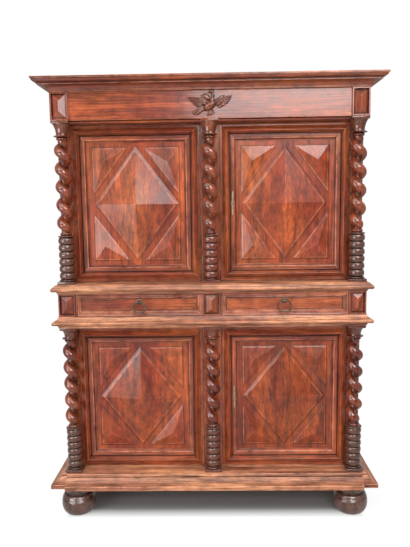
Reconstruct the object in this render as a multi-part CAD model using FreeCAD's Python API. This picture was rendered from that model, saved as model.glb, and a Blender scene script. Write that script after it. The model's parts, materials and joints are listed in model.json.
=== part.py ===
import FreeCAD, Part
import math
import os

from FreeCAD import Placement, Rotation, Vector

# Two-body buffet: a lower cupboard with a drawer row, and an upper cupboard standing on it.
# Millimetres, +Z up, the doors face -Y, the origin is on the floor under the middle of the case.

# Heights of the levels, from the floor up
foot_height = 140.0
base_height = 60.0
lower_case_height = 696.0
lower_waist_height = 52.0
drawer_row_height = 106.0
upper_waist_height = 43.0
upper_case_height = 727.0
frieze_height = 121.0
cornice_height = 55.0

# Plan of the case
overall_depth = 600.0
case_half_width = 698.0
side_setback = 8.0
moulding_stock = 36.0
base_stock = 60.0
cornice_projection = 64.0
upper_waist_projection = 27.0
lower_waist_projection = 28.0
base_projection = 61.0
base_break_depth = 20.0
base_break_inset = 8.0

# Face frames behind the columns
face_setback = 78.0
stile_thickness = 35.0
end_stile_width = 51.0
centre_stile_half_width = 42.0
lower_head_height = 15.0
upper_head_drop = 12.0
stop_length = 60.0
stop_height = 8.0
stop_depth = 12.0

# Boards
board_thickness = 22.0
deck_thickness = 28.0
top_thickness = 20.0
back_thickness = 12.0
back_board_count = 7
shelf_thickness = 20.0
shelf_setback = 140.0
lower_shelf_height = 330.0
upper_shelf_height = 350.0
cleat_height = 22.0
cleat_width = 18.0

# Side frames
side_post_width = 85.0
side_rail_height = 90.0
side_panel_thickness = 12.0
side_panel_tongue = 9.0
side_field_margin = 30.0
side_field_rise = 7.0
side_field_bevel = 22.0

# Columns
block_width = 78.0
column_radius = 35.5
column_block_height = 12.0
abacus_height = 12.0
disc_height = 9.0
disc_radius = 36.5
ring_count = 6
upper_ring_pitch = 32.0
lower_ring_pitch = 31.0
ring_valley_radius = 27.5
bulb_height = 14.0
bulb_radius = 25.5
neck_radius = 21.0
twist_turns = 5.1
strand_radius = 26.0
strand_offset = 11.5
sections_per_turn = 10
runout_turn_share = 0.45
annulet_height = 9.0
annulet_radius = 34.0
upper_bell_height = 49.0
lower_bell_height = 38.0
bell_foot_radius = 27.0
bell_rim_radius = 38.0
bell_curve_share = 0.3
bell_middle_share = 0.5

# Feet
bun_radius = 79.0
bun_height = 98.0
bun_sole_radius = 47.0
bun_neck_radius = 60.0
bun_seat_radius = 63.0
bun_seat_height = 22.0
front_foot_inset = 51.0
front_foot_setback = 30.0
rear_foot_width = 90.0
rear_foot_inset = 38.0
rear_foot_setback = 70.0

# Doors
door_gap = 2.0
door_thickness = 28.0
door_frame_width = 76.0
door_relief = 16.0
panel_setback = 16.0
panel_lap = 10.0
panel_fit = 0.5
lozenge_side_margin = 24.0
lozenge_end_margin = 16.0
lozenge_edge_width = 13.0
lozenge_edge_rise = 6.0
lozenge_point_rise = 40.0
channel_width = 25.0
corner_margin = 20.0
corner_edge_width = 6.0
corner_edge_rise = 3.0
corner_point_rise = 18.0
corner_apex_share = 0.31
pivot_inset = 42.0
pivot_setback = 6.0
pivot_radius = 4.0
pivot_grip = 25.0
pivot_reach = 9.0
pivot_clearance = 0.05
pivot_end_clearance = 1.0

# Locks, escutcheons and turn buttons
escutcheon_inset = 58.0
escutcheon_length = 112.0
escutcheon_width = 13.0
escutcheon_thickness = 1.2
escutcheon_seat_share = -0.2
keyhole_radius = 2.4
keyhole_slot_width = 2.6
keyhole_slot_length = 8.0
lock_width = 78.0
lock_height = 96.0
lock_depth = 19.0
bolt_width = 46.0
bolt_height = 20.0
bolt_thickness = 6.0
bolt_setback = 9.0
bolt_clearance = 0.4
button_inset = 26.0
button_boss_radius = 9.0
button_boss_height = 9.0
button_length = 40.0
button_tail = 14.0
button_width = 16.0
button_thickness = 6.0

# Drawers
drawer_gap = 2.0
centre_block_half_width = 40.0
drawer_front_setback = 4.0
drawer_front_thickness = 22.0
drawer_frame_width = 27.0
drawer_relief = 12.0
drawer_back_room = 68.0
drawer_box_inset = 10.0
drawer_box_height = 84.0
drawer_side_thickness = 12.0
drawer_bottom_thickness = 7.0
drawer_bottom_lift = 6.0
runner_width = 34.0
runner_clearance = 0.3

# Ring pulls
pull_height_above_middle = 12.0
pull_plate_radius = 10.5
pull_plate_thickness = 2.5
pull_post_width = 9.0
pull_post_height = 13.0
pull_ring_standoff = 12.0
ring_wire_radius = 3.0
ring_end_radius = 23.0
ring_straight = 14.0
ring_clearance = 0.08

# Blocks with pyramid faces
block_frame_width = 7.0
block_frame_depth = 9.0
block_point_rise = 13.0
block_ridge_share = 0.4

# Frieze
frieze_setback = 10.0
frieze_thickness = 30.0
soffit_nose_setback = 24.0

# Carved bird: its box on the frieze, and the relief of its layers
bird_width = 206.0
bird_height = 110.0
bird_centre_height = 63.0
bird_wing_thickness = 7.0
bird_covert_thickness = 11.0
bird_tail_thickness = 6.0
bird_body_thickness = 17.0
bird_body_half_length = 33.0
bird_neck_radius = 7.0
bird_head_radius = 9.0
bird_leg_radius = 4.0

# Every cut runs past its piece by this much
cut_overrun = 5.0

# Moulding outlines: shares of the projection and of the height, from the bottom up.
# A pair is a corner, four numbers are an arc through a middle point to an end point.
cornice_shares = [
    (0.06, 0.0), (0.06, 0.09), (0.09, 0.11), (0.2, 0.36, 0.55, 0.45), (0.66, 0.455),
    (0.645, 0.61), (0.68, 0.625), (0.86, 0.67, 0.93, 0.85), (1.0, 0.86), (1.0, 1.0),
]
upper_waist_shares = [
    (0.1, 0.0), (0.1, 0.08), (0.3, 0.23, 0.74, 0.28), (0.82, 0.28),
    (1.0, 0.49, 0.82, 0.7), (0.68, 0.72), (0.66, 0.76), (0.44, 0.9, 0.06, 1.0),
]
lower_waist_shares = [
    (0.08, 0.0), (0.08, 0.07), (0.3, 0.25, 0.86, 0.31), (0.93, 0.36),
    (1.0, 0.47, 0.93, 0.58), (0.44, 0.7, 0.12, 0.94), (0.1, 1.0),
]
base_shares = [
    (0.98, 0.0), (1.0, 0.04), (1.0, 0.33), (0.94, 0.36), (0.6, 0.5, 0.34, 0.74),
    (0.26, 0.77), (0.29, 0.85, 0.22, 0.93), (0.2, 1.0),
]
# Frame outlines: shares of the frame's width and of its relief, from the outer edge inwards
door_frame_shares = [
    (0.0, 0.0), (0.15, 0.0), (0.165, 0.14), (0.4, 0.9), (0.43, 1.0, 0.46, 0.88),
    (0.59, -0.12), (0.6, -0.5), (0.63, -0.5), (0.635, -0.2), (0.655, -0.06, 0.67, -0.2),
    (0.86, -0.2), (0.95, -0.8), (1.0, -0.8),
]
drawer_frame_shares = [
    (0.0, 0.0), (0.05, 0.0), (0.26, -0.34), (0.3, -0.34), (0.34, -0.26), (0.62, -0.36),
    (0.65, -0.52), (0.69, -0.52), (0.73, -0.42), (1.0, -1.0),
]
# Bird outlines: shares of its box, x from the left edge and z from the bottom edge
bird_left_wing_shares = [
    (0.5, 0.42), (0.36, 0.66), (0.2, 0.86), (0.0, 0.93), (0.06, 0.74), (0.03, 0.62),
    (0.13, 0.58), (0.14, 0.44), (0.25, 0.46), (0.28, 0.34), (0.4, 0.38),
]
bird_left_covert_shares = [(0.5, 0.42), (0.38, 0.68), (0.24, 0.8), (0.2, 0.62), (0.3, 0.46), (0.4, 0.38)]
bird_right_wing_shares = [
    (0.56, 0.4), (0.62, 0.6), (0.76, 0.8), (1.0, 0.94), (0.95, 0.76), (0.99, 0.66),
    (0.88, 0.6), (0.88, 0.48), (0.77, 0.46), (0.74, 0.34), (0.63, 0.32),
]
bird_right_covert_shares = [(0.56, 0.4), (0.62, 0.62), (0.76, 0.74), (0.8, 0.6), (0.7, 0.44), (0.63, 0.32)]
bird_tail_shares = [
    (0.42, 0.38), (0.2, 0.3), (0.1, 0.2), (0.16, 0.16), (0.14, 0.06), (0.24, 0.1), (0.28, 0.02), (0.46, 0.24),
]
bird_body_centre_share = (0.5, 0.36)
bird_body_tilt_degrees = 35.0
bird_neck_shares = [(0.57, 0.48), (0.62, 0.66), (0.57, 0.88)]
bird_head_share = (0.545, 0.92)
bird_beak_shares = [(0.54, 0.99), (0.44, 0.86), (0.56, 0.86)]
bird_leg_shares = [[(0.52, 0.26), (0.5, 0.04)], [(0.58, 0.28), (0.6, 0.04)]]

# Levels and planes that follow from the sizes above
base_top = foot_height + base_height
lower_case_top = base_top + lower_case_height
drawer_row_bottom = lower_case_top + lower_waist_height
drawer_row_top = drawer_row_bottom + drawer_row_height
upper_case_bottom = drawer_row_top + upper_waist_height
upper_case_top = upper_case_bottom + upper_case_height
frieze_top = upper_case_top + frieze_height
front_plane = cornice_projection - overall_depth / 2
back_plane = overall_depth / 2
side_outer = case_half_width - side_setback
side_inner = case_half_width - moulding_stock
stile_inner = side_outer - end_stile_width
face_plane = front_plane + face_setback
frame_back = face_plane + stile_thickness
back_inner = back_plane - back_thickness
column_half_span = case_half_width - block_width / 2
column_axis_setback = face_setback / 2
column_axis = front_plane + column_axis_setback
door_outer = stile_inner - door_gap
door_inner = centre_stile_half_width + door_gap
door_back = face_plane + door_thickness
pivot_x = door_outer - pivot_inset
pivot_y = face_plane + pivot_setback
pivot_hole_depth = pivot_reach + pivot_end_clearance
lower_door_bottom = base_top + door_gap
lower_door_top = lower_case_top - lower_head_height - door_gap
upper_door_bottom = upper_case_bottom + door_gap
upper_door_top = upper_case_top - upper_head_drop - door_gap

UP = Vector(0, 0, 1)
BACK = Vector(0, 1, 0)
RIGHT = Vector(1, 0, 0)
SIDES = (-1, 1)


def save(name, solids):
    """Write one node: a single solid, or several separate solids together."""
    shape = solids[0] if len(solids) == 1 else Part.makeCompound(solids)
    shape.exportStep("parts/" + name + ".step")


def block(x0, x1, y0, y1, z0, z1):
    """A square-edged board between two corners."""
    low = Vector(min(x0, x1), min(y0, y1), min(z0, z1))
    return Part.makeBox(abs(x1 - x0), abs(y1 - y0), abs(z1 - z0), low)


def outline_wire(moves, place):
    """A closed wire through corners and arcs, each set in space by place(u, v)."""
    edges = []
    start = place(*moves[0])
    here = start
    for move in moves[1:]:
        there = place(*move[-2:])
        if len(move) == 4:
            edges.append(Part.Arc(here, place(*move[:2]), there).toShape())
        else:
            edges.append(Part.LineSegment(here, there).toShape())
        here = there
    edges.append(Part.LineSegment(here, start).toShape())
    return Part.Wire(edges)


def prism(moves, place, sweep):
    """An outline pushed along a straight line."""
    return Part.Face(outline_wire(moves, place)).extrude(sweep)


def sized(shares, width, height):
    """An outline of shares at its real size."""
    return [tuple(value * (width, height)[i % 2] for i, value in enumerate(move)) for move in shares]


def polyhedron(faces):
    """A solid from its flat faces."""
    sheets = [Part.Face(Part.makePolygon(list(face) + [face[0]])) for face in faces]
    solid = Part.makeSolid(Part.makeShell(sheets))
    if solid.Volume < 0:
        solid.reverse()
    return solid


def fused(solids):
    """One solid from overlapping or touching ones."""
    return solids[0].multiFuse(solids[1:]).removeSplitter().Solids[0]


def mouldings(shares, projection, height, stock, plane, bottom):
    """A moulding round the front and both sides of the case, mitred at the front corners."""
    moves = sized(shares, projection, height) + [(-stock, height), (-stock, 0)]
    reach = projection + cut_overrun
    inside = stock + cut_overrun
    far, near = case_half_width + reach, case_half_width - inside
    front, rear = plane - reach, plane + inside
    low = bottom - cut_overrun
    rise = UP * (height + 2 * cut_overrun)
    run = prism(moves, lambda u, v: Vector(-far, plane - u, bottom + v), RIGHT * 2 * far)
    mitre = [(-far, front), (far, front), (near, rear), (-near, rear)]
    length = run.common(prism(mitre, lambda u, v: Vector(u, v, low), rise)).Solids[0]
    returns = []
    sweep = BACK * (back_plane - front)
    for side in SIDES:
        run = prism(moves, lambda u, v: Vector(side * (case_half_width + u), front, bottom + v), sweep)
        mitre = [(side * far, front), (side * far, back_plane), (side * near, back_plane), (side * near, rear)]
        returns.append(run.common(prism(mitre, lambda u, v: Vector(u, v, low), rise)).Solids[0])
    return length, returns


def mitred_frame(x0, x1, z0, z1, face, width, relief, shares, backing):
    """Four mitred lengths round a rectangle: bottom, right, top and left."""
    moves = sized(shares, width, relief) + backing
    spans = [
        (x1 - x0, Vector(x0, face, z0), 0), (z1 - z0, Vector(x1, face, z0), -90),
        (x1 - x0, Vector(x1, face, z1), 180), (z1 - z0, Vector(x0, face, z1), 90),
    ]
    reach = relief + cut_overrun
    sweep = BACK * (2 * reach + max(-v for _, v in backing))
    members = []
    for length, corner, turn in spans:
        run = prism(moves, lambda u, v: Vector(0, -v, u), RIGHT * length)
        mitre = [(0, 0), (length, 0), (length - width, width), (width, width)]
        member = run.common(prism(mitre, lambda u, v: Vector(u, -reach, v), sweep)).Solids[0]
        member.Placement = Placement(corner, Rotation(BACK, turn))
        members.append(member)
    return members


def inset(points, distance):
    """A convex outline, listed anticlockwise, drawn in by the same distance on every edge."""
    lines = []
    for (ax, az), (bx, bz) in zip(points, points[1:] + points[:1]):
        span = math.hypot(bx - ax, bz - az)
        nx, nz = (az - bz) / span, (bx - ax) / span
        lines.append((nx, nz, nx * ax + nz * az + distance))
    corners = []
    for (ax, az, a), (bx, bz, b) in zip(lines[-1:] + lines[:-1], lines):
        spread = ax * bz - az * bx
        corners.append(((a * bz - b * az) / spread, (ax * b - bx * a) / spread))
    return corners


def cut_point(points, edge_width, edge_rise, ridge, point_rise, ground, root):
    """A raised field with chamfered edges and facets that meet in a point or a ridge.

    points run anticlockwise, ridge is one point or two, and root is how far the field goes into its board.
    """
    rim = inset(points, edge_width)
    levels = [
        [Vector(x, ground + root, z) for x, z in points], [Vector(x, ground, z) for x, z in points],
        [Vector(x, ground - edge_rise, z) for x, z in rim],
    ]
    faces = [levels[0]]
    count = len(points)
    for low, high in zip(levels, levels[1:]):
        for i in range(count):
            j = (i + 1) % count
            faces.append([low[i], low[j], high[j], high[i]])
    top = [Vector(x, ground - point_rise, z) for x, z in ridge]
    for i in range(count):
        j = (i + 1) % count
        ends = [min(top, key=lambda p: p.distanceToPoint(corner)) for corner in (levels[2][j], levels[2][i])]
        faces.append([levels[2][i], levels[2][j]] + (ends if ends[0] != ends[1] else ends[:1]))
    return polyhedron(faces)


def turned(moves, x, y, z):
    """A turned piece: an outline of radius and height spun about its own axis."""
    face = Part.Face(outline_wire(moves, lambda u, v: Vector(x + u, y, z + v)))
    return face.revolve(Vector(x, y, z), UP, 360)


def twist(bottom, top):
    """A single strand wound about the column's axis, running out straight at both ends."""
    count = round(twist_turns * sections_per_turn)
    sections = []
    for i in range(count + 1):
        turn = twist_turns * i / count
        ease = min(1, turn / runout_turn_share, (twist_turns - turn) / runout_turn_share)
        ease = ease * ease * (3 - 2 * ease)
        angle = 2 * math.pi * turn
        offset = strand_offset * ease
        radius = neck_radius + (strand_radius - neck_radius) * ease
        centre = Vector(offset * math.cos(angle), offset * math.sin(angle), top - (top - bottom) * i / count)
        sections.append(Part.Wire(Part.Circle(centre, UP, radius).toShape()))
    return Part.makeLoft(sections, True, False)


def column(height, ring_pitch, bell_height):
    """A column on the origin: block, ring stack, twist, bell and abacus, in one turned and carved piece."""
    half, depth = block_width / 2, column_axis_setback
    foot = block(-half, half, -depth, depth, 0, column_block_height)
    rings_bottom = column_block_height + disc_height
    rings_top = rings_bottom + ring_count * ring_pitch
    twist_bottom = rings_top + disc_height + bulb_height
    bell_top = height - abacus_height
    bell_bottom = bell_top - bell_height
    twist_top = bell_bottom - annulet_height - bulb_height
    stack = [
        (0, column_block_height), (ring_valley_radius, column_block_height),
        (disc_radius, column_block_height + disc_height / 2, ring_valley_radius, rings_bottom),
    ]
    for ring in range(ring_count):
        low = rings_bottom + ring * ring_pitch
        stack.append((column_radius, low + ring_pitch / 2, ring_valley_radius, low + ring_pitch))
    stack += [
        (disc_radius, rings_top + disc_height / 2, neck_radius, rings_top + disc_height),
        (bulb_radius, twist_bottom - bulb_height / 2, neck_radius, twist_bottom), (0, twist_bottom),
    ]
    annulet_bottom = bell_bottom - annulet_height
    bell_waist = bell_foot_radius + (bell_rim_radius - bell_foot_radius) * bell_curve_share
    crown = [
        (0, twist_top), (neck_radius, twist_top),
        (bulb_radius, twist_top + bulb_height / 2, neck_radius, annulet_bottom),
        (annulet_radius, annulet_bottom + annulet_height / 2, bell_foot_radius, bell_bottom),
        (bell_waist, bell_bottom + bell_height * bell_middle_share, bell_rim_radius, bell_top), (0, bell_top),
    ]
    abacus = block(-half, half, -depth, depth, bell_top, height)
    return fused([foot, turned(stack, 0, 0, 0), twist(twist_bottom, twist_top), turned(crown, 0, 0, 0), abacus])


def columns(bottom, height, ring_pitch, bell_height):
    """The three columns of one case."""
    one = column(height, ring_pitch, bell_height)
    row = []
    for x in (-column_half_span, 0, column_half_span):
        copy = one.copy()
        copy.translate(Vector(x, column_axis, bottom))
        row.append(copy)
    return row


def pyramid_block(x0, x1, z0, z1):
    """A block whose face is a thin raised frame round a hipped pyramid."""
    ground = front_plane + block_frame_depth
    body = block(x0, x1, front_plane, front_plane + face_setback, z0, z1)
    left, right = x0 + block_frame_width, x1 - block_frame_width
    low, high = z0 + block_frame_width, z1 - block_frame_width
    body = body.cut(block(left, right, front_plane - cut_overrun, ground, low, high))
    middle = (x0 + x1) / 2
    end = (high - low) / 2 * (1 - block_ridge_share)
    points = [(left, low), (left, high), (right, high), (right, low)]
    ridge = [(middle, low + end), (middle, high - end)]
    root = face_setback - block_frame_depth - cut_overrun
    return fused([body, hipped_field(points, ridge, ground, block_point_rise, root)])


def hipped_field(points, ridge, ground, rise, root):
    """A hipped pyramid over a rectangle: points are the corners from the lower left, up and round."""
    deep = [Vector(x, ground + root, z) for x, z in points]
    low = [Vector(x, ground, z) for x, z in points]
    foot, head = [Vector(x, ground - rise, z) for x, z in ridge]
    faces = [deep]
    for i in range(4):
        j = (i + 1) % 4
        faces.append([deep[i], deep[j], low[j], low[i]])
    faces += [
        [low[0], low[1], head, foot], [low[1], low[2], head],
        [low[2], low[3], foot, head], [low[3], low[0], foot],
    ]
    return polyhedron(faces)


def feet():
    """Turned bun feet in front, plain blocks behind."""
    bun = [
        (0, 0), (bun_sole_radius, 0), (bun_radius, bun_height / 2, bun_neck_radius, bun_height),
        (bun_neck_radius, foot_height - bun_seat_height), (bun_seat_radius, foot_height), (0, foot_height),
    ]
    x, y = case_half_width - front_foot_inset, front_plane + front_foot_setback
    save("front_feet", [turned(bun, side * x, y, 0) for side in SIDES])
    rear = []
    for side in SIDES:
        x = side * (case_half_width - rear_foot_inset)
        y = back_plane - rear_foot_setback
        half = rear_foot_width / 2
        rear.append(block(x - half, x + half, y - rear_foot_width, y, 0, foot_height))
    save("rear_feet", rear)


def base():
    """The base moulding, whose front breaks forward between its ends, and the bottom board inside it."""
    half = case_half_width - base_break_inset
    moves = sized(base_shares, base_projection, base_height) + [(-base_stock, base_height), (-base_stock, 0)]
    front = prism(moves, lambda u, v: Vector(-half, front_plane - u, foot_height + v), RIGHT * 2 * half)
    save("base_moulding_front", [front])
    plane = front_plane + base_break_depth
    ends, returns = mouldings(base_shares, base_projection, base_height, base_stock, plane, foot_height)
    room = block(-half, half, front_plane - base_projection - cut_overrun, front_plane + base_stock,
                 foot_height - cut_overrun, base_top + cut_overrun)
    reach = case_half_width + base_projection
    rear = plane + base_stock
    for side in SIDES:
        corner = block(side * half, side * reach, plane - base_projection, rear, foot_height, base_top)
        returns.append(ends.common(corner).Solids[0])
    save("base_moulding_returns", [piece.cut(room).Solids[0] for piece in returns])
    inner = case_half_width - base_stock
    bottom = block(-inner, inner, front_plane + base_stock, back_plane, base_top - board_thickness, base_top)
    save("lower_bottom", [bored_for_pivots(bottom, base_top)])


def side_frame(side, bottom, top):
    """Two posts and two rails of one side, and the raised panel held between them."""
    front_post = frame_back + side_post_width
    rear_post = back_plane - side_post_width
    low, high = bottom + side_rail_height, top - side_rail_height
    x0, x1 = side * side_inner, side * side_outer
    frame = [
        block(x0, x1, frame_back, front_post, bottom, top), block(x0, x1, rear_post, back_plane, bottom, top),
        block(x0, x1, front_post, rear_post, bottom, low), block(x0, x1, front_post, rear_post, high, top),
    ]
    centre = side * (side_inner + side_outer) / 2
    sheet = block(
        centre - side_panel_thickness / 2, centre + side_panel_thickness / 2,
        front_post - side_panel_tongue, rear_post + side_panel_tongue,
        low - side_panel_tongue, high + side_panel_tongue,
    )
    frame = [piece.cut(sheet) for piece in frame]
    y0, y1 = front_post + side_field_margin, rear_post - side_field_margin
    z0, z1 = low + side_field_margin, high - side_field_margin
    face = centre + side * side_panel_thickness / 2
    crown = face + side * side_field_rise
    ground = [Vector(face, y, z) for y, z in ((y0, z0), (y1, z0), (y1, z1), (y0, z1))]
    bevel = side_field_bevel
    raised = [
        Vector(crown, y0 + bevel, z0 + bevel), Vector(crown, y1 - bevel, z0 + bevel),
        Vector(crown, y1 - bevel, z1 - bevel), Vector(crown, y0 + bevel, z1 - bevel),
    ]
    faces = [ground, raised]
    for i in range(4):
        j = (i + 1) % 4
        faces.append([ground[i], ground[j], raised[j], raised[i]])
    return frame, fused([sheet, polyhedron(faces)])


def sides_and_backs():
    """Framed sides, and backs of upright boards between them."""
    panels = []
    for case, bottom, top in (("lower", base_top, lower_case_top), ("upper", upper_case_bottom, frieze_top)):
        frames = []
        for side in SIDES:
            frame, panel = side_frame(side, bottom, top)
            frames += frame
            panels.append(panel)
        save(case + "_sides", frames)
    save("side_panels", panels)
    save("drawer_row_sides", [
        block(side * side_inner, side * side_outer, face_plane, back_plane, drawer_row_bottom, drawer_row_top)
        for side in SIDES
    ])
    for case, bottom, top in (("lower", base_top, drawer_row_top), ("upper", upper_case_bottom, frieze_top)):
        step = 2 * side_inner / back_board_count
        save(case + "_back", [
            block(-side_inner + i * step, -side_inner + (i + 1) * step, back_inner, back_plane, bottom, top)
            for i in range(back_board_count)
        ])


def boards_and_shelves():
    """The decks between the levels, the dust top, the shelves and their cleats."""
    def deck(bottom, thickness, back):
        front = front_plane + moulding_stock
        return block(-side_inner, side_inner, front, back, bottom, bottom + thickness)
    half_waist = upper_waist_height / 2
    save("drawer_deck", [deck(lower_case_top, deck_thickness, back_inner)])
    save("lower_top", [deck(drawer_row_top, half_waist, back_plane)])
    upper_bottom = deck(drawer_row_top + half_waist, half_waist, back_plane)
    save("upper_bottom", [bored_for_pivots(upper_bottom, upper_case_bottom)])
    save("top_board", [deck(frieze_top, top_thickness, back_plane)])
    cleats = []
    levels = {"lower": base_top + lower_shelf_height, "upper": upper_case_bottom + upper_shelf_height}
    for case, level in levels.items():
        front = front_plane + shelf_setback
        shelf = block(-side_inner, side_inner, front, back_inner, level, level + shelf_thickness)
        save(case + "_shelf", [shelf])
        for side in SIDES:
            x1 = side * (side_inner - cleat_width)
            cleats.append(block(side * side_inner, x1, front, back_inner, level - cleat_height, level))
    save("shelf_cleats", cleats)


def pivot_hole(side, bottom, depth):
    """A hole for the pin of a door."""
    return Part.makeCylinder(pivot_radius + pivot_clearance, depth, Vector(side * pivot_x, pivot_y, bottom), UP)


def bored_for_pivots(board, top):
    """A board under a pair of doors, with the holes for their lower pins."""
    for side in SIDES:
        board = board.cut(pivot_hole(side, top - pivot_hole_depth, pivot_hole_depth))
    return board


def face_frame(name, bottom, top, door_top):
    """Stiles and head rails round the doors of one case, with a stop for each door."""
    pieces = [block(-centre_stile_half_width, centre_stile_half_width, face_plane, frame_back, bottom, top)]
    for side in SIDES:
        pieces.append(block(side * stile_inner, side * side_outer, face_plane, frame_back, bottom, top))
        x0, x1 = side * centre_stile_half_width, side * stile_inner
        head_bottom = door_top + door_gap
        head = block(x0, x1, face_plane, frame_back, head_bottom, top)
        pieces.append(head.cut(pivot_hole(side, head_bottom, pivot_hole_depth)))
        stop_front = door_back + runner_clearance
        pieces.append(block(x0, x0 + side * stop_length, stop_front, stop_front + stop_depth,
                            head_bottom - stop_height, head_bottom))
    save(name, pieces)


def frieze():
    """Board, end blocks with pyramid faces, and the soffit with its rounded nose."""
    inner = case_half_width - block_width
    face = front_plane + frieze_setback
    save("frieze_board", [block(-inner, inner, face, face + frieze_thickness, upper_case_top, frieze_top)])
    save("frieze_blocks", [
        pyramid_block(min(side * inner, side * case_half_width), max(side * inner, side * case_half_width),
                      upper_case_top, frieze_top)
        for side in SIDES
    ])
    nose = front_plane + soffit_nose_setback
    radius = upper_head_drop / 2
    bottom = upper_case_top - upper_head_drop
    outline = [(face_plane, bottom), (face_plane, upper_case_top), (nose + radius, upper_case_top),
               (nose, bottom + radius, nose + radius, bottom)]
    soffits = []
    for side in SIDES:
        x0, x1 = sorted((side * block_width / 2, side * inner))
        soffits.append(prism(outline, lambda u, v: Vector(x0, u, v), RIGHT * (x1 - x0)))
    save("frieze_soffit", soffits)


def carved_bird():
    """A bird with spread wings, carved in low relief on the middle of the frieze."""
    face = front_plane + frieze_setback
    low = upper_case_top + bird_centre_height - bird_height / 2

    def spot(u, v):
        return Vector((u - 0.5) * bird_width, face, low + v * bird_height)

    def layer(shares, thickness):
        return prism(shares, spot, BACK * -thickness)

    def rod(start, end, radius):
        a, b = spot(*start), spot(*end)
        lift = BACK * -radius
        return Part.makeCylinder(radius, a.distanceToPoint(b), a + lift, b - a)

    pieces = [
        layer(bird_left_wing_shares, bird_wing_thickness), layer(bird_right_wing_shares, bird_wing_thickness),
        layer(bird_left_covert_shares, bird_covert_thickness),
        layer(bird_right_covert_shares, bird_covert_thickness),
        layer(bird_tail_shares, bird_tail_thickness), layer(bird_beak_shares, bird_head_radius),
    ]
    tilt = math.radians(bird_body_tilt_degrees)
    along = Vector(math.cos(tilt), 0, math.sin(tilt))
    across = Vector(-math.sin(tilt), 0, math.cos(tilt))
    centre = spot(*bird_body_centre_share)
    tail, breast = centre - along * bird_body_half_length, centre + along * bird_body_half_length
    edges = [
        Part.Arc(tail, centre + across * bird_body_thickness, breast).toShape(),
        Part.LineSegment(breast, tail).toShape(),
    ]
    pieces.append(Part.Face(Part.Wire(edges)).revolve(centre, along, 360))
    for start, end in zip(bird_neck_shares, bird_neck_shares[1:]):
        pieces.append(rod(start, end, bird_neck_radius))
        pieces.append(Part.makeSphere(bird_neck_radius, spot(*end) + BACK * -bird_neck_radius))
    pieces.append(Part.makeSphere(bird_head_radius, spot(*bird_head_share) + BACK * -bird_neck_radius))
    pieces += [rod(start, end, bird_leg_radius) for start, end in bird_leg_shares]
    bird = pieces[0].multiFuse(pieces[1:])
    room = block(-bird_width, bird_width, face - bird_width, face, low - bird_height, low + 2 * bird_height)
    save("carved_bird", [bird.common(room).Solids[0]])


def panel(x0, x1, z0, z1):
    """A door panel: a central lozenge and four corner points, all raised on one board."""
    ground = face_plane + panel_setback
    lap = panel_lap - panel_fit
    board = block(x0 - lap, x1 + lap, ground, door_back, z0 - lap, z1 + lap)
    middle_x, middle_z = (x0 + x1) / 2, (z0 + z1) / 2
    half_x, half_z = (x1 - x0) / 2, (z1 - z0) / 2
    root = (door_back - ground) / 2
    a, b = half_x - lozenge_side_margin, half_z - lozenge_end_margin
    centre = (middle_x, middle_z)
    lozenge = [
        (middle_x, middle_z - b), (middle_x + a, middle_z), (middle_x, middle_z + b), (middle_x - a, middle_z),
    ]
    fields = [
        cut_point(lozenge, lozenge_edge_width, lozenge_edge_rise, [centre], lozenge_point_rise, ground, root),
    ]
    reach = 1 + channel_width * math.hypot(1 / a, 1 / b)
    far_x, far_z = half_x - corner_margin, half_z - corner_margin
    near_x, near_z = a * (reach - far_z / b), b * (reach - far_x / a)
    for sx in SIDES:
        for sz in SIDES:
            corner = [(far_x, far_z), (near_x, far_z), (far_x, near_z)]
            if sx * sz < 0:
                corner.reverse()
            corner = [(middle_x + sx * x, middle_z + sz * z) for x, z in corner]
            apex_x = middle_x + sx * (far_x - (far_x - near_x) * corner_apex_share)
            apex_z = middle_z + sz * (far_z - (far_z - near_z) * corner_apex_share)
            fields.append(cut_point(corner, corner_edge_width, corner_edge_rise, [(apex_x, apex_z)],
                                    corner_point_rise, ground, root))
    return fused([board] + fields)


def keyhole(x, z, front, depth):
    """A round hole with a slot below it, running back from a plane."""
    start = Vector(x, front - cut_overrun, z)
    hole = Part.makeCylinder(keyhole_radius, depth + cut_overrun, start, BACK)
    half = keyhole_slot_width / 2
    return hole.fuse(block(x - half, x + half, front - cut_overrun, front + depth, z - keyhole_slot_length, z))


def door(name, side, z0, z1):
    """One door: mitred frame, panel, pivot pins, and its lock or turn button."""
    x0, x1 = sorted((side * door_outer, side * door_inner))
    lip = door_frame_width - panel_lap
    width = door_frame_width
    backing = [(width, -panel_setback), (lip, -panel_setback), (lip, -door_thickness), (0, -door_thickness)]
    members = mitred_frame(x0, x1, z0, z1, face_plane, width, door_relief, door_frame_shares, backing)
    pins = []
    for low in (z0 - pivot_reach, z1 - pivot_grip):
        foot = Vector(side * pivot_x, pivot_y, low)
        pin = Part.makeCylinder(pivot_radius, pivot_grip + pivot_reach, foot, UP)
        pins.append(pin)
        members = [member.cut(pin) for member in members]
    save(name + "_door_pivots", pins)
    save(name + "_door_panel", [panel(x0 + width, x1 - width, z0 + width, z1 - width)])
    middle = (z0 + z1) / 2
    if side > 0:
        hole = keyhole(x0 + escutcheon_inset, middle, face_plane, door_thickness)
        members = [member.cut(hole) for member in members]
        lock(name, x0, middle)
    else:
        turn_button(name, x1, middle)
    save(name + "_door_frame", members)


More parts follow.
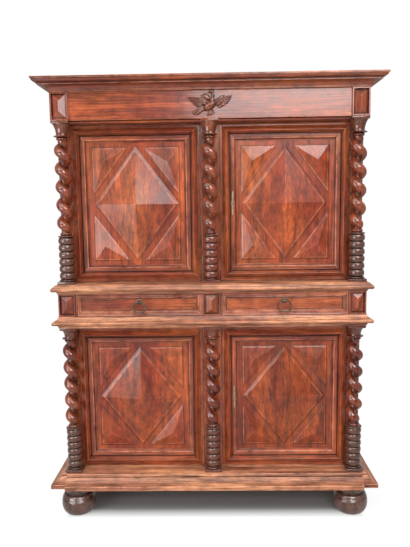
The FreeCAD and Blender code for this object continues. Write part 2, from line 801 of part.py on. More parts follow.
def lock(name, edge, middle):
    """Escutcheon, lock case and sliding bolt of a right-hand door, whose free edge is at x = edge."""
    x = edge + escutcheon_inset
    seat = face_plane - escutcheon_seat_share * door_relief
    half_w, half_l = escutcheon_width / 2, escutcheon_length / 2
    plate = [(-half_w, 0), (-half_w / 2, half_l / 2), (0, half_l), (half_w / 2, half_l / 2),
             (half_w, 0), (half_w / 2, -half_l / 2), (0, -half_l), (-half_w / 2, -half_l / 2)]
    shield = prism(plate, lambda u, v: Vector(x + u, seat, middle + v), BACK * -escutcheon_thickness)
    save(name + "_escutcheon", [shield.cut(keyhole(x, middle, seat - escutcheon_thickness, door_thickness))])
    low, high = middle - lock_height / 2, middle + lock_height / 2
    case = block(edge, edge + lock_width, door_back, door_back + lock_depth, low, high)
    bolt_front = door_back + bolt_setback
    bolt_low, bolt_high = middle - bolt_height / 2, middle + bolt_height / 2
    room = bolt_clearance
    way = block(edge - cut_overrun, edge + bolt_width + bolt_clearance, bolt_front - room,
                bolt_front + bolt_thickness + room, bolt_low - room, bolt_high + room)
    save(name + "_lock_case", [case.cut(way)])
    bolt = block(edge, edge + bolt_width, bolt_front, bolt_front + bolt_thickness, bolt_low, bolt_high)
    save(name + "_lock_bolt", [bolt])


def turn_button(name, edge, middle):
    """A bar that turns on the back of a left-hand door and catches behind the centre stile."""
    x = edge - button_inset
    boss = Part.makeCylinder(button_boss_radius, button_boss_height, Vector(x, door_back, middle), BACK)
    front = door_back + button_boss_height
    half = button_width / 2
    tail, tip = middle - button_tail, middle + button_length
    bar = block(x - half, x + half, front, front + button_thickness, tail, tip)
    save(name + "_turn_button", [fused([boss, bar])])


def drawer(name, side):
    """One drawer: moulded front, box and ring pull."""
    inner = centre_block_half_width + drawer_gap
    outer = case_half_width - block_width - drawer_gap
    x0, x1 = sorted((side * inner, side * outer))
    z0, z1 = drawer_row_bottom + drawer_gap, drawer_row_top - drawer_gap
    face = front_plane + drawer_front_setback
    rear = face + drawer_front_thickness
    width = drawer_frame_width
    backing = [(width, -drawer_front_thickness), (0, -drawer_front_thickness)]
    members = mitred_frame(x0, x1, z0, z1, face, width, drawer_relief, drawer_frame_shares, backing)
    field = block(x0 + width, x1 - width, face + drawer_relief, rear, z0 + width, z1 - width)
    save(name + "_drawer_front", members + [field])
    left, right = x0 + drawer_box_inset, x1 - drawer_box_inset
    low = z0 + runner_clearance
    high = low + drawer_box_height
    end = back_inner - drawer_back_room
    wall = drawer_side_thickness
    floor = low + drawer_bottom_lift
    save(name + "_drawer_box", [
        block(left, left + wall, rear, end, low, high), block(right - wall, right, rear, end, low, high),
        block(left + wall, right - wall, end - wall, end, low, high),
        block(left + wall, right - wall, rear, end - wall, floor, floor + drawer_bottom_thickness),
    ])
    ring_pull(name, (x0 + x1) / 2, (z0 + z1) / 2 + pull_height_above_middle, face + drawer_relief)
    return [(left, left + runner_width), (right - runner_width, right)]


def ring_pull(name, x, z, seat):
    """A round plate with an eyed post, and the ring that swings in the eye."""
    eye = face_eye(seat)
    plate = Part.makeCylinder(pull_plate_radius, pull_plate_thickness, Vector(x, seat, z), BACK * -1)
    half_w, half_h = pull_post_width / 2, pull_post_height / 2
    post = block(x - half_w, x + half_w, eye - half_h, seat, z - half_h, z + half_h)
    start = Vector(x - half_w - cut_overrun, eye, z)
    hole = Part.makeCylinder(ring_wire_radius + ring_clearance, pull_post_width + 2 * cut_overrun, start, RIGHT)
    save(name + "_pull_plate", [fused([plate, post]).cut(hole)])
    half = ring_straight / 2
    top, low = Vector(x - half, eye, z), Vector(x - half, eye, z - 2 * ring_end_radius)
    bars = [Part.makeCylinder(ring_wire_radius, ring_straight, start, RIGHT) for start in (top, low)]
    bends = []
    for side in SIDES:
        centre = Vector(x + side * half, eye, z - ring_end_radius)
        circle = Part.Circle(centre + UP * ring_end_radius, RIGHT, ring_wire_radius)
        section = Part.Face(Part.Wire(circle.toShape()))
        bends.append(section.revolve(centre, BACK, side * 180))
    save(name + "_pull_ring", [fused(bars + bends)])


def face_eye(seat):
    """How far forward the middle of the ring's wire stands."""
    return seat - drawer_relief - pull_ring_standoff


def drawer_row():
    """Blocks with pyramid faces, both drawers, and the runners under the drawers' sides."""
    half = centre_block_half_width
    inner, outer = case_half_width - block_width, case_half_width
    spans = [(-outer, -inner), (-half, half), (inner, outer)]
    save("drawer_row_blocks", [pyramid_block(x0, x1, drawer_row_bottom, drawer_row_top) for x0, x1 in spans])
    tracks = []
    for name, side in (("left", -1), ("right", 1)):
        tracks += drawer(name, side)
    bottom = lower_case_top + deck_thickness
    front = front_plane + moulding_stock
    top = drawer_row_bottom + drawer_gap
    save("drawer_runners", [block(x0, x1, front, back_inner, bottom, top) for x0, x1 in tracks])


def main():
    os.makedirs("parts", exist_ok=True)
    feet()
    base()
    sides_and_backs()
    boards_and_shelves()
    face_frame("lower_face_frame", base_top, lower_case_top, lower_door_top)
    face_frame("upper_face_frame", upper_case_bottom, frieze_top, upper_door_top)
    save("lower_columns", columns(base_top, lower_case_height, lower_ring_pitch, lower_bell_height))
    save("upper_columns", columns(upper_case_bottom, upper_case_height, upper_ring_pitch, upper_bell_height))
    for name, shares, projection, height, bottom in (
        ("lower_waist_moulding", lower_waist_shares, lower_waist_projection, lower_waist_height, lower_case_top),
        ("upper_waist_moulding", upper_waist_shares, upper_waist_projection, upper_waist_height, drawer_row_top),
        ("cornice", cornice_shares, cornice_projection, cornice_height, frieze_top),
    ):
        front, returns = mouldings(shares, projection, height, moulding_stock, front_plane, bottom)
        save(name, [front] + returns)
    drawer_row()
    frieze()
    carved_bird()
    for side_name, side in (("left", -1), ("right", 1)):
        door("lower_" + side_name, side, lower_door_bottom, lower_door_top)
        door("upper_" + side_name, side, upper_door_bottom, upper_door_top)


main()
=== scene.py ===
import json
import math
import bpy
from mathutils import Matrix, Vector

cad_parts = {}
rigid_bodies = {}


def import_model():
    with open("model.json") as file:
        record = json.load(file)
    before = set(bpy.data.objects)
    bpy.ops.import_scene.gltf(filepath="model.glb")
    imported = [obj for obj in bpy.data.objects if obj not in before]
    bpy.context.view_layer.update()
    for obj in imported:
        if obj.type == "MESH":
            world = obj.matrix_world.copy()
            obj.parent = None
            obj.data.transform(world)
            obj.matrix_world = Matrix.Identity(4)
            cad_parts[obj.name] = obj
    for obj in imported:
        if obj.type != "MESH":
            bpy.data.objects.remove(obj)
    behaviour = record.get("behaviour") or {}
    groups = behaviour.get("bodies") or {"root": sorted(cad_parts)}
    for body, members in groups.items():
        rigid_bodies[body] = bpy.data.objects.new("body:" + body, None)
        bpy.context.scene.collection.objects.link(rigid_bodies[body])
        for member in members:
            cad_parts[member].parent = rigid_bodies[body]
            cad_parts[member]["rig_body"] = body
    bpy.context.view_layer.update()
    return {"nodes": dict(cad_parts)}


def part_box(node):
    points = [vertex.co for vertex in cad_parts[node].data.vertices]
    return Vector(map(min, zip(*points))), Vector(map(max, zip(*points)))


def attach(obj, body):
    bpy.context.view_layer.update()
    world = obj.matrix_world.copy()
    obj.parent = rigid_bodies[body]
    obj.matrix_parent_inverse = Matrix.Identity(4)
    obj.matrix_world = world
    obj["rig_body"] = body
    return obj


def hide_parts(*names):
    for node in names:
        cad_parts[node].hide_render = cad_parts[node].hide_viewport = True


bl_info = {
    "name": "Two-body buffet",
    "version": (1, 0, 0),
    "blender": (4, 5, 0),
    "location": "View3D > Sidebar > Buffet",
    "description": "Dresses the packed buffet in polished walnut, brass and iron, and lights it",
    "category": "Object",
}

import bmesh
import bpy
from bpy.props import FloatProperty, FloatVectorProperty, IntProperty, PointerProperty
from bpy.types import Operator, Panel, PropertyGroup
from mathutils import Matrix, Vector

for leftover in list(bpy.data.objects):
    bpy.data.objects.remove(leftover)
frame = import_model()

DOORS = ("lower_left", "lower_right", "upper_left", "upper_right")
SIDES = (-1, 1)

# Finish and slot of the case's joinery, and the width of each node's softened edges in metres
JOINERY = (
    ("Polished walnut", "walnut", {
        "lower_face_frame": 0.0012, "upper_face_frame": 0.0012, "lower_sides": 0.0014, "upper_sides": 0.0014,
        "side_panels": 0.0012, "drawer_row_sides": 0.0012, "drawer_row_blocks": 0.0012,
        "frieze_blocks": 0.0012, "frieze_board": 0.0012, "frieze_soffit": 0.0010, "cornice": 0.0016,
        "left_drawer_front": 0.0014, "right_drawer_front": 0.0014,
    }),
    # Mouldings in a paler walnut all over: partly rubbed and dusty, partly painted glare
    ("Rubbed walnut", "walnut", {
        "base_moulding_front": 0.0018, "base_moulding_returns": 0.0018, "lower_waist_moulding": 0.0016,
        "upper_waist_moulding": 0.0016, "lower_bottom": 0.0010, "upper_bottom": 0.0010,
    }),
    ("Plain oak", "inner_oak", {
        "rear_feet": 0.0020, "lower_back": 0.0012, "upper_back": 0.0012, "lower_shelf": 0.0016,
        "upper_shelf": 0.0016, "shelf_cleats": 0.0012, "drawer_deck": 0.0010, "lower_top": 0.0010,
        "top_board": 0.0012, "drawer_runners": 0.0010, "left_drawer_box": 0.0010, "right_drawer_box": 0.0010,
    }),
)
FRAME_EDGE, PANEL_EDGE, BUTTON_EDGE, BLOCK_EDGE = 0.0014, 0.0018, 0.0012, 0.0012
LOCK_CASE_EDGE, LOCK_BOLT_EDGE = 0.0009, 0.0008
UPRIGHT_GRAIN = ("door_panel", "side_panels", "back")
FACETED = ("door_panel", "blocks")

# Edges are softened on creases over so many degrees, and where they are longer than this in metres
PLAIN_CREASE, FACET_CREASE, SHORTEST_EDGE = 26, 8, 0.007
# How a softened edge is marked: above 0 painted pale, partly wear and partly a painted highlight along it;
# below 0 painted dark, partly old polish and partly painted shade in the crease
RUBBED_GLARE, RUBBED_GLARE_RIM, RUBBED_GLARE_RIDGE, GRIMY_AND_SHADED = 1.0, 0.55, 0.15, -1.0


def node_body(node):
    """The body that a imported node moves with."""
    return frame["nodes"][node]["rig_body"]


def colour(name, description, default):
    """A colour setting."""
    return FloatVectorProperty(
        name=name, description=description, default=default, subtype="COLOR", size=3, min=0.0, max=1.0
    )


def length(name, description, default):
    """A length setting, in metres."""
    return FloatProperty(name=name, description=description, default=default, unit="LENGTH", precision=4)


def power(name, description, default):
    """A setting for the power of a light, in watts."""
    return FloatProperty(name=name, description=description, default=default, unit="POWER")


class BuffetFinish(PropertyGroup):
    """Colours and polish of the wood and the metal."""

    walnut_dark: colour("Walnut dark", "Darkest streaks of the polished wood", (0.046, 0.009, 0.006))
    walnut_mid: colour("Walnut", "Body colour of the polished wood", (0.290, 0.056, 0.018))
    walnut_light: colour("Walnut light", "Palest streaks of the polished wood", (0.510, 0.125, 0.036))
    # Paler walnut of the mouldings: partly rubbed and dusty, partly painted glare
    rubbed_dark: colour("Rubbed dark", "Darkest streaks of the rubbed mouldings", (0.105, 0.027, 0.012))
    rubbed_light: colour("Rubbed light", "Palest streaks of the rubbed mouldings", (0.700, 0.300, 0.160))
    # Pale colour of softened edges: partly wear, partly a painted highlight along them
    worn_edge: colour("Worn edge", "Wood that handling has rubbed pale", (0.600, 0.300, 0.190))
    # Colour for pores, and for creases and hollows painted dark: partly old polish, partly painted shade
    grime: colour("Old polish", "Dark polish left in the hollows", (0.016, 0.005, 0.004))
    oak_dark: colour("Oak dark", "Darkest streaks of the plain boards", (0.130, 0.075, 0.040))
    oak_light: colour("Oak light", "Palest streaks of the plain boards", (0.330, 0.215, 0.125))
    foot: colour("Foot", "Grey-brown of the bun feet", (0.150, 0.070, 0.048))
    brass: colour("Brass", "Pale brass of the escutcheons", (0.560, 0.430, 0.290))
    bronze: colour("Bronze", "Aged metal of the ring pulls", (0.170, 0.120, 0.085))
    iron: colour("Iron", "Locks and pivots", (0.160, 0.150, 0.140))
    rust: colour("Rust", "Rust in the hollows of the iron", (0.090, 0.045, 0.025))
    # How strongly softened edges are painted pale, partly wear and partly painted highlight
    wear: FloatProperty(
        name="Wear", description="How far the edges are rubbed", default=0.75, min=0.0, max=1.0,
        subtype="FACTOR",
    )


class BuffetColumns(PropertyGroup):
    """Sizes of the twisted columns."""

    strand: length("Strand radius", "Radius of the wound strand", 0.0215)
    helix: length("Winding radius", "How far the strand's middle stands off the axis", 0.0160)
    neck: length("Neck radius", "Radius where the strand runs out", 0.0190)
    turns: FloatProperty(name="Turns", description="Turns of the strand", default=5.1, min=1.0, max=12.0)
    run_out: FloatProperty(
        name="Run-out", description="Turns over which the strand straightens", default=0.45
    )
    rings: IntProperty(name="Rings", description="Turned rings under the twist", default=6, min=1, max=12)
    crest: length("Ring crest", "Largest radius of a ring", 0.0355)
    valley: length("Ring valley", "Radius between two rings", 0.0270)
    block: length("Block width", "Width of the square block and the abacus", 0.078)
    span: length("Spacing", "Distance from one column to the next", 0.659)


class BuffetStage(PropertyGroup):
    """Floor, lights and camera."""

    floor: colour("Floor", "Pale floor", (0.86, 0.86, 0.86))
    ambient: FloatProperty(name="Ambient", description="Soft light from all round", default=0.05, min=0.0)
    overhead_power: power("Overhead", "Power of the overhead light", 880.0)
    left_power: power("Left", "Power of the left-hand light", 34.0)
    low_power: power("Low", "Power of the low left light", 46.0)
    fill_power: power("Fill", "Power of the low fill light", 26.0)
    right_power: power("Right", "Power of the right-hand light", 32.0)
    front_power: power("Front", "Power of the front light", 42.0)
    high_power: power("High", "Power of the high front light", 48.0)
    back_power: power("Back", "Power of each light behind", 110.0)
    lens: FloatProperty(name="Lens", description="Focal length of the camera in millimetres", default=36.86)


def feed(tree, node, inputs):
    """Give a node its inputs, each a value or a socket."""
    for key, value in inputs.items():
        socket = node.inputs[key]
        if isinstance(value, bpy.types.NodeSocket):
            tree.links.new(value, socket)
        else:
            socket.default_value = value


def shader(tree, kind, inputs=None, **settings):
    """One node of a tree, with its settings and its inputs."""
    node = tree.nodes.new(kind)
    for key, value in settings.items():
        setattr(node, key, value)
    feed(tree, node, inputs or {})
    return node


def sum_of(tree, operation, *values):
    """A chain of one arithmetic operation over sockets and numbers."""
    result = values[0]
    for value in values[1:]:
        result = shader(tree, "ShaderNodeMath", {0: result, 1: value}, operation=operation).outputs[0]
    return result


def times(tree, *values):
    """A product of sockets and numbers."""
    return sum_of(tree, "MULTIPLY", *values)


def scaled(tint, share):
    """A colour made darker or paler."""
    return [part * share for part in tint]


def mixed(tree, factor, first, second):
    """Two colours mixed, each a socket or its red, green and blue."""
    first, second = (c if isinstance(c, bpy.types.NodeSocket) else (*c, 1.0) for c in (first, second))
    return shader(tree, "ShaderNodeMix", {0: factor, 6: first, 7: second}, data_type="RGBA").outputs[2]


def ramp(tree, factor, stops):
    """A colour ramp through (place, colour) stops."""
    node = shader(tree, "ShaderNodeValToRGB", {"Fac": factor})
    elements = node.color_ramp.elements
    for element, (place, tint) in zip(elements, (stops[0], stops[-1])):
        element.position = place
        element.color = (*tint, 1.0)
    for place, tint in stops[1:-1]:
        elements.new(place).color = (*tint, 1.0)
    return node.outputs["Color"]


def span(tree, value, low, high, start=0.0, end=1.0):
    """A value brought from one range into another."""
    inputs = {"Value": value, "From Min": low, "From Max": high, "To Min": start, "To Max": end}
    return shader(tree, "ShaderNodeMapRange", inputs).outputs["Result"]


def attribute(tree, name, output="Fac"):
    """One of the piece's own attributes."""
    return shader(tree, "ShaderNodeAttribute", attribute_name=name).outputs[output]


def object_place(tree):
    """The place in the object's own frame."""
    return shader(tree, "ShaderNodeTexCoord").outputs["Object"]


def noise(tree, vector, along, across, detail, roughness, distortion=0.0):
    """A noise pattern with so many cells to the metre along and across the grain."""
    drawn = shader(tree, "ShaderNodeMapping", {"Vector": vector, "Scale": (along, across, across)}).outputs[0]
    return shader(tree, "ShaderNodeTexNoise", {
        "Vector": drawn, "Scale": 1.0, "Detail": detail, "Roughness": roughness, "Distortion": distortion,
    }).outputs["Fac"]


def hollows(tree, reach):
    """1 on open ground, and less where the piece closes in within a reach."""
    node = shader(tree, "ShaderNodeAmbientOcclusion", {"Distance": reach}, samples=6, only_local=True)
    return node.outputs["AO"]


def bump(tree, strength, depth, height):
    """Fine relief for a surface."""
    inputs = {"Strength": strength, "Distance": depth, "Height": height}
    return shader(tree, "ShaderNodeBump", inputs).outputs["Normal"]


def rays(tree):
    """Whether a ray comes from the camera, and whether it comes by way of polish or glass."""
    path = shader(tree, "ShaderNodeLightPath").outputs
    mirrored = sum_of(tree, "MAXIMUM", path["Is Glossy Ray"], path["Is Transmission Ray"])
    return path["Is Camera Ray"], mirrored


def new_material(name):
    """An empty material with its shader and its output."""
    material = bpy.data.materials.new(name)
    material.use_nodes = True
    tree = material.node_tree
    tree.nodes.clear()
    surface = shader(tree, "ShaderNodeBsdfPrincipled")
    shader(tree, "ShaderNodeOutputMaterial", {"Surface": surface.outputs["BSDF"]})
    return material, tree, surface


def grain_vector(tree, upright):
    """Coordinates with the grain along x: the piece's own attribute, or upright in the object's frame."""
    if not upright:
        return attribute(tree, "grain", "Vector")
    parts = shader(tree, "ShaderNodeSeparateXYZ", {0: object_place(tree)}).outputs
    turned = {"X": parts["Z"], "Y": parts["X"], "Z": parts["Y"]}
    return shader(tree, "ShaderNodeCombineXYZ", turned).outputs[0]


def wood(name, stops, worn, grime, wear, polish, upright=False, figure=1.0):
    """A wood with growth lines, fibres and pores, its softened edges painted pale and its creases and hollows
    dark.

    polish holds the roughness, its spread, and the coat's weight and roughness. The pale edges are partly
    wear and partly painted highlight, the dark creases and hollows partly old polish and partly painted
    shade.
    worn is the colour of the pale edges, or on upright turned work the colour of its sooty parts.
    """
    _, tree, surface = new_material(name)
    vector = grain_vector(tree, upright)
    broad = span(tree, noise(tree, vector, 2.0, 24.0, 5.0, 0.62, 0.9), 0.30, 0.70)
    log = shader(tree, "ShaderNodeMapping", {
        "Vector": vector, "Location": (0.0, 0.013, 0.115), "Scale": (0.075, 1.0, 1.0),
    }).outputs[0]
    growth = shader(tree, "ShaderNodeTexWave", {
        "Vector": log, "Scale": 27.0, "Distortion": 4.5, "Detail": 3.0, "Detail Scale": 1.4,
        "Detail Roughness": 0.6,
    }, wave_type="RINGS", rings_direction="X").outputs["Fac"]
    fibres = noise(tree, vector, 9.0, 330.0, 4.0, 0.70)
    pores = span(tree, noise(tree, vector, 34.0, 820.0, 2.0, 0.5), 0.60, 0.72)
    broad_share, growth_share, fibre_share, least = 0.40, 0.11 * figure, 0.42, 0.035
    streaks = sum_of(
        tree, "ADD", times(tree, broad, broad_share), times(tree, growth, growth_share),
        times(tree, span(tree, fibres, 0.3, 0.7), fibre_share), least,
    )
    tint = ramp(tree, streaks, stops)
    cloud = noise(tree, vector, 2.2, 6.0, 2.0, 0.5)
    patches = noise(tree, vector, 22.0, 30.0, 3.0, 0.6)
    value = times(
        tree, span(tree, cloud, 0.30, 0.70, 0.70, 1.30), span(tree, patches, 0.34, 0.66, 0.74, 1.26)
    )
    if not upright:
        value = times(tree, value, span(tree, attribute(tree, "tone"), 0.0, 1.0, 0.84, 1.16))
    hue = span(tree, cloud, 0.30, 0.70, 0.493, 0.508)
    tint = shader(tree, "ShaderNodeHueSaturation", {"Color": tint, "Value": value, "Hue": hue}).outputs[0]
    tint = mixed(tree, times(tree, pores, 0.42), tint, grime)
    if upright:
        tint = mixed(tree, attribute(tree, "soot"), tint, worn)
    else:
        # Softened convex edges painted pale: partly wear, partly painted highlight
        edge = attribute(tree, "worn")
        rubbed_and_glare = times(tree, span(tree, edge, 0.0, 1.0), span(tree, patches, 0.34, 0.58), wear)
        tint = mixed(tree, rubbed_and_glare, tint, worn)
        # Creases painted dark: partly old polish, partly painted shade
        tint = mixed(tree, span(tree, edge, 0.0, -1.0, 0.0, 0.85), tint, grime)
    # Hollows darkened by occlusion: painted shade, partly old polish
    tint = mixed(tree, span(tree, hollows(tree, 0.020), 0.92, 0.45, 0.0, 0.95), tint, grime)
    roughness, spread, coat, coat_roughness = polish
    uneven = span(tree, patches, 0.3, 0.7, roughness, roughness + spread)
    feed(tree, surface, {
        "Base Color": tint, "Roughness": sum_of(tree, "ADD", uneven, times(tree, pores, 0.15)),
        "Specular IOR Level": 0.45, "Coat Weight": coat, "Coat Roughness": coat_roughness,
        "Normal": bump(tree, 0.22, 0.0006, sum_of(tree, "SUBTRACT", times(tree, fibres, 0.5), pores)),
    })


def metal(name, tint, tarnish, roughness, spread):
    """A metal with tarnish in the hollows and uneven polish."""
    _, tree, surface = new_material(name)
    place = object_place(tree)
    cloud = noise(tree, place, 90.0, 90.0, 5.0, 0.65)
    speck = noise(tree, place, 700.0, 700.0, 2.0, 0.5)
    dirt = span(tree, hollows(tree, 0.006), 0.9, 0.3, 0.0, 0.7)
    dull = sum_of(tree, "ADD", span(tree, cloud, 0.42, 0.72, 0.0, 0.7), dirt)
    feed(tree, surface, {
        "Base Color": mixed(tree, dull, tint, tarnish), "Metallic": 1.0,
        "Roughness": span(tree, cloud, 0.3, 0.7, roughness, roughness + spread),
        "Normal": bump(tree, 0.25, 0.0003, speck),
    })


def make_materials(finish):
    """Every finish of the buffet."""
    dark, mid, light = finish.walnut_dark, finish.walnut_mid, finish.walnut_light
    between = [(a + b) / 2 for a, b in zip(dark, mid)]
    redder = (0.90, 0.75, 0.62)
    red_mid, red_light = ([a * b for a, b in zip(tint, redder)] for tint in (mid, light))
    worn, grime, wear, soot = finish.worn_edge, finish.grime, finish.wear, scaled(finish.foot, 0.5)
    walnut = ((0.14, dark), (0.40, between), (0.60, mid), (0.92, light))
    rubbed_and_glare = ((0.26, finish.rubbed_dark), (0.74, finish.rubbed_light))
    figured = ((0.16, dark), (0.42, between), (0.60, red_mid), (0.90, red_light))
    turned = ((0.12, scaled(dark, 0.6)), (0.50, between), (0.88, scaled(mid, 1.35)))
    shod = ((0.12, scaled(dark, 0.5)), (0.92, finish.foot))
    carved = ((0.12, scaled(dark, 0.4)), (0.50, scaled(between, 0.7)), (0.92, mid))
    oak = ((0.15, finish.oak_dark), (0.85, finish.oak_light))
    # Plain oak's dark colour for pores, creases and hollows: dirt and painted shade
    oak_dirt_and_shade, oak_wear_and_sheen = scaled(finish.oak_dark, 0.25), 0.2
    wood("Polished walnut", walnut, worn, grime, wear, (0.27, 0.12, 0.50, 0.14))
    wood("Rubbed walnut", rubbed_and_glare, finish.rubbed_light, grime, wear, (0.34, 0.16, 0.10, 0.20), figure=0.6)
    wood("Figured walnut", figured, worn, grime, wear, (0.28, 0.10, 0.16, 0.14), figure=0.8)
    wood("Turned walnut", turned, soot, grime, wear, (0.21, 0.10, 0.70, 0.10), upright=True)
    wood("Foot walnut", shod, soot, grime, wear, (0.22, 0.10, 0.90, 0.10), upright=True)
    wood("Carved walnut", carved, soot, grime, wear, (0.20, 0.12, 0.70, 0.12), upright=True)
    wood("Plain oak", oak, finish.oak_light, oak_dirt_and_shade, oak_wear_and_sheen, (0.62, 0.15, 0.0, 0.5))
    metal("Pale brass", finish.brass, scaled(finish.brass, 0.35), 0.26, 0.16)
    metal("Aged bronze", finish.bronze, scaled(finish.bronze, 0.28), 0.32, 0.2)
    metal("Dark iron", finish.iron, finish.rust, 0.45, 0.2)


def finish_of(name):
    """A finish made by make_materials."""
    return bpy.data.materials[name]


def fraction(text):
    """A steady number from 0 to 1 that belongs to a name."""
    total = 7
    for letter in text:
        total = (total * 31 + ord(letter)) % 99991
    return (total * 7919 % 99991) / 99991


def solids_of(node):
    """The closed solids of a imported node, each as (points, faces), with doubled corners merged."""
    mesh = frame["nodes"][node].data
    known = {}
    points = []
    corner = []
    for vertex in mesh.vertices:
        key = tuple(round(value * 1e5) for value in vertex.co)
        if key not in known:
            known[key] = len(points)
            points.append(vertex.co.copy())
        corner.append(known[key])
    solids = []
    faces = []
    unpaired = set()
    for polygon in mesh.polygons:
        face = [corner[i] for i in polygon.vertices]
        if len(set(face)) == len(face):
            faces.append(face)
            for a, b in zip(face, face[1:] + face[:1]):
                unpaired ^= {(min(a, b), max(a, b))}
        if faces and not unpaired:
            used = sorted({i for face in faces for i in face})
            order = {old: new for new, old in enumerate(used)}
            solids.append(([points[i] for i in used], [[order[i] for i in face] for face in faces]))
            faces = []
    if unpaired:
        raise RuntimeError(node + " has an open solid")
    return solids


def piece_of(name, mesh, body, finish, slot, *nodes):
    """A finished piece that rides on a body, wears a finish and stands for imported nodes."""
    piece = bpy.data.objects.new(name, mesh)
    bpy.context.scene.collection.objects.link(piece)
    mesh.materials.clear()
    mesh.materials.append(finish_of(finish))
    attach(piece, body)
    if nodes:
        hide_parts(*nodes)


def held(mesh, name):
    """An object that holds a mesh while modifiers work on it."""
    holder = bpy.data.objects.new(name, mesh)
    bpy.context.scene.collection.objects.link(holder)
    return holder


def worked(holder):
    """What the modifiers made of a held mesh, as a plain mesh."""
    name, source = holder.name, holder.data
    evaluated = holder.evaluated_get(bpy.context.evaluated_depsgraph_get())
    result = bpy.data.meshes.new_from_object(evaluated)
    result.name = name
    holder.modifiers.clear()
    bpy.data.objects.remove(holder)
    bpy.data.meshes.remove(source)
    return result


def applied(mesh, name, modifiers):
    """A mesh with modifiers, given as (kind, settings), worked into it."""
    holder = held(mesh, name)
    for kind, values in modifiers:
        modifier = holder.modifiers.new(kind, kind)
        for key, value in values.items():
            setattr(modifier, key, value)
    return worked(holder)


def smooth_shaded(mesh, degrees):
    """Smooth shading that stays sharp over edges steeper than an angle."""
    mesh.polygons.foreach_set("use_smooth", [True] * len(mesh.polygons))
    mesh.set_sharp_from_angle(angle=math.radians(degrees))
    return mesh


def mesh_of(bm, name, outward=False):
    """A mesh made from a bmesh, its faces turned outwards if asked."""
    if outward:
        bmesh.ops.recalc_face_normals(bm, faces=bm.faces)
    mesh = bpy.data.meshes.new(name)
    bm.to_mesh(mesh)
    bm.free()
    return mesh


def skin(bm, rows):
    """Faces from each ring of points to the next."""
    for near, far in zip(rows, rows[1:]):
        for i in range(len(near)):
            j = (i + 1) % len(near)
            bm.faces.new((near[i], near[j], far[j], far[i]))


def round_turn(steps):
    """The angles of a full turn in equal steps."""
    return [2 * math.pi * i / steps for i in range(steps)]


def islands_of(bm):
    """The separate solids of a bmesh, as lists of vertices."""
    seen = set()
    groups = []
    for first in bm.verts:
        if first in seen:
            continue
        seen.add(first)
        group = [first]
        for vertex in group:
            for edge in vertex.link_edges:
                other = edge.other_vert(vertex)
                if other not in seen:
                    seen.add(other)
                    group.append(other)
        groups.append(group)
    return groups


def lay_grain(bm, name, upright):
    """Give every solid its own grain direction, its own place in the plank and its own tone."""
    grain = bm.verts.layers.float_vector["grain"]
    tone = bm.verts.layers.float["tone"]
    for index, group in enumerate(islands_of(bm)):
        low = [min(v.co[i] for v in group) for i in range(3)]
        high = [max(v.co[i] for v in group) for i in range(3)]
        reach = [b - a for a, b in zip(low, high)]
        along = 2 if upright else reach.index(max(reach))
        across, through = [i for i in range(3) if i != along]
        seed = fraction(name + str(index))
        start = Vector((seed * 17.0, fraction(str(index) + name) * 5.0, seed * 3.0))
        for vertex in group:
            vertex[grain] = start + Vector((vertex.co[along], vertex.co[across], vertex.co[through]))
            vertex[tone] = seed


def bevelled(bm, lines, width, clamp=False):
    """Round edges off, and return the new faces."""
    return bmesh.ops.bevel(
        bm, geom=lines, offset=width, offset_type="OFFSET", segments=2, profile=0.5, affect="EDGES",
        clamp_overlap=clamp,
    )["faces"]


def soften(bm, lines, crease, width, choose, mark, clamp):
    """Round the chosen edges off and mark the new faces: pale for wear and painted highlight, dark for old
    polish and painted shade.
    """
    worn = bm.faces.layers.float["worn"]
    sharp = [
        line for line in lines
        if line.is_manifold and line.calc_face_angle(0.0) > crease and line.calc_length() > SHORTEST_EDGE
        and not any(face[worn] for face in line.link_faces) and choose(line)
    ]
    sharp.sort(key=lambda line: tuple(round(c, 6) for c in line.verts[0].co + line.verts[1].co))
    for face in bevelled(bm, sharp, width, clamp):
        face[worn] = mark


def is_rim(line):
    """Whether an edge borders a long narrow face, as the rim of a raised field does."""
    return min(face.calc_area() for face in line.link_faces) < 0.1 * line.calc_length() ** 2


def joined_mesh(node, edge):
    """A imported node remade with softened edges, its grain laid along each board."""
    bm = bmesh.new()
    bm.verts.layers.float_vector.new("grain")
    bm.verts.layers.float.new("tone")
    bm.faces.layers.float.new("worn")
    faceted = any(word in node for word in FACETED)
    crease = FACET_CREASE if faceted else PLAIN_CREASE
    ridge_edge, groove_edge = edge * 0.6, edge * 0.8
    for points, faces in solids_of(node):
        others = set(bm.verts)
        corners = [bm.verts.new(point) for point in points]
        made = [bm.faces.new([corners[i] for i in face]) for face in faces]
        lines = list({line for face in made for line in face.edges})
        bmesh.ops.dissolve_limit(
            bm, angle_limit=math.radians(0.6), use_dissolve_boundaries=False, verts=corners, edges=lines
        )
        # Convex edges painted pale, partly wear and partly painted highlight; concave ones painted dark,
        # partly old polish and partly painted shade
        for choose, width, mark in (
            (lambda line: line.is_convex and (not faceted or is_rim(line)), edge,
             RUBBED_GLARE_RIM if faceted else RUBBED_GLARE),
            (lambda line: line.is_convex and faceted, ridge_edge, RUBBED_GLARE_RIDGE),
            (lambda line: not line.is_convex, groove_edge, GRIMY_AND_SHADED),
        ):
            lines = {line for vertex in bm.verts if vertex not in others for line in vertex.link_edges}
            soften(bm, lines, math.radians(crease), width, choose, mark, not faceted)
    lay_grain(bm, node, any(word in node for word in UPRIGHT_GRAIN))
    mesh = smooth_shaded(mesh_of(bm, node + "_wood"), crease)
    return applied(mesh, node + "_wood", [("WEIGHTED_NORMAL", {"keep_sharp": True, "weight": 60})])


def joined(node, edge, finish, slot):
    """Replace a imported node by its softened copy."""
    piece_of(node + "_wood", joined_mesh(node, edge), node_body(node), finish, slot, node)


